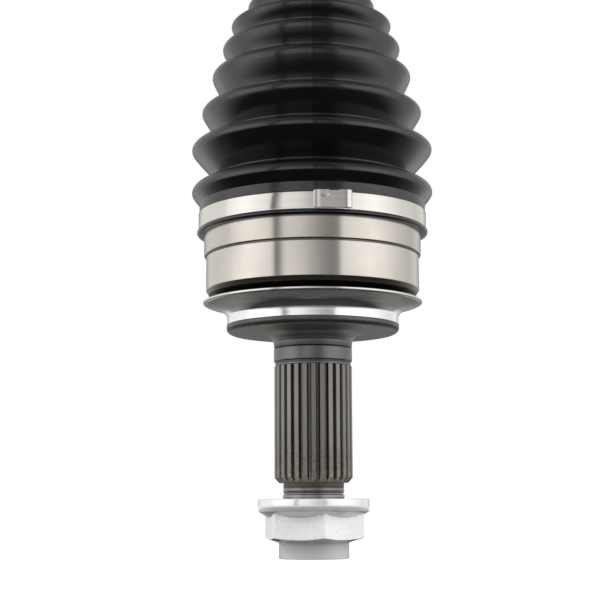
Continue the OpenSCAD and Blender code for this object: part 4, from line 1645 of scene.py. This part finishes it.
    def floor(self) -> None:
        """Lay the plain pale floor under the nut."""
        grown = bmesh.new()
        bmesh.ops.create_grid(grown, x_segments=1, y_segments=1, size=4.0)
        mesh = bpy.data.meshes.new("floor")
        grown.to_mesh(mesh)
        grown.free()
        mesh.transform(Matrix.Translation((0.0, 0.0, self.floor_z * MM)))
        made = bpy.data.materials.new("floor_paper")
        tree = cleared(made)
        place = add_node(tree, "ShaderNodeTexCoord").outputs["Object"]
        away = length(tree, place)
        path = add_node(tree, "ShaderNodeLightPath").outputs
        paper, grey = (
            add_node(tree, "ShaderNodeBsdfDiffuse", {"Color": linear(code)}).outputs["BSDF"]
            for code in ("#bcbcbc", "#2e2e2e")
        )
        feeds = {0: path["Is Camera Ray"], 1: grey, 2: paper}
        below = add_node(tree, "ShaderNodeMixShader", feeds).outputs["Shader"]
        shown = calc(
            tree, "MULTIPLY", self.mirrored(tree, place, away), path["Is Glossy Ray"]
        )
        paler = remap(tree, away, 0.15, 0.6, 0.8, 1.0)
        strength = calc(tree, "MULTIPLY_ADD", paler, path["Is Camera Ray"], shown)
        feeds = {"Color": linear("#ffffff"), "Strength": strength}
        glow = add_node(tree, "ShaderNodeEmission", feeds).outputs["Emission"]
        lit = add_node(tree, "ShaderNodeAddShader", {0: below, 1: glow}).outputs["Shader"]
        add_node(tree, "ShaderNodeOutputMaterial", {"Surface": lit})
        mesh.materials.append(made)
        place_mesh("floor", mesh)

    def build(self) -> None:
        """Set up the whole studio."""
        bpy.context.scene.view_settings.view_transform = "Standard"
        self.camera()
        self.lamps()
        self.world()
        self.floor()


def dress_nodes(nodes: dict[str, Piece], shelf: MaterialShelf) -> None:
    """Give every CAD node that stays its finish.

    Args:
        nodes: The frame's nodes by name.
        shelf: Hands out the materials.
    """
    for name, finish in NODE_FINISHES.items():
        node = nodes[name]
        material = shelf.get(finish)
        if not node.material_slots:
            node.data.materials.append(material)
        for place in node.material_slots:
            place.material = material
        log.info("%s: %s", name, finish.name)


def main() -> None:
    """Load the frame, build each sub-assembly and the studio, and log each new piece's
    faces.
    """
    logging.basicConfig(level=logging.INFO, format="%(name)s: %(message)s")
    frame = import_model()
    shelf = MaterialShelf()
    lathe = Lathe()
    dress_nodes(frame["nodes"], shelf)
    pieces: list[Piece] = []
    for turned in (WHEEL_JOINT, GEARBOX_JOINT, DustSlinger()):
        pieces += turned.build(lathe, shelf)
    pieces += FlangeNut().build(shelf)
    for piece in pieces:
        log.info("%s: %d faces", piece.name, len(piece.data.polygons))
    Studio().build()


if __name__ == "__main__":
    main()
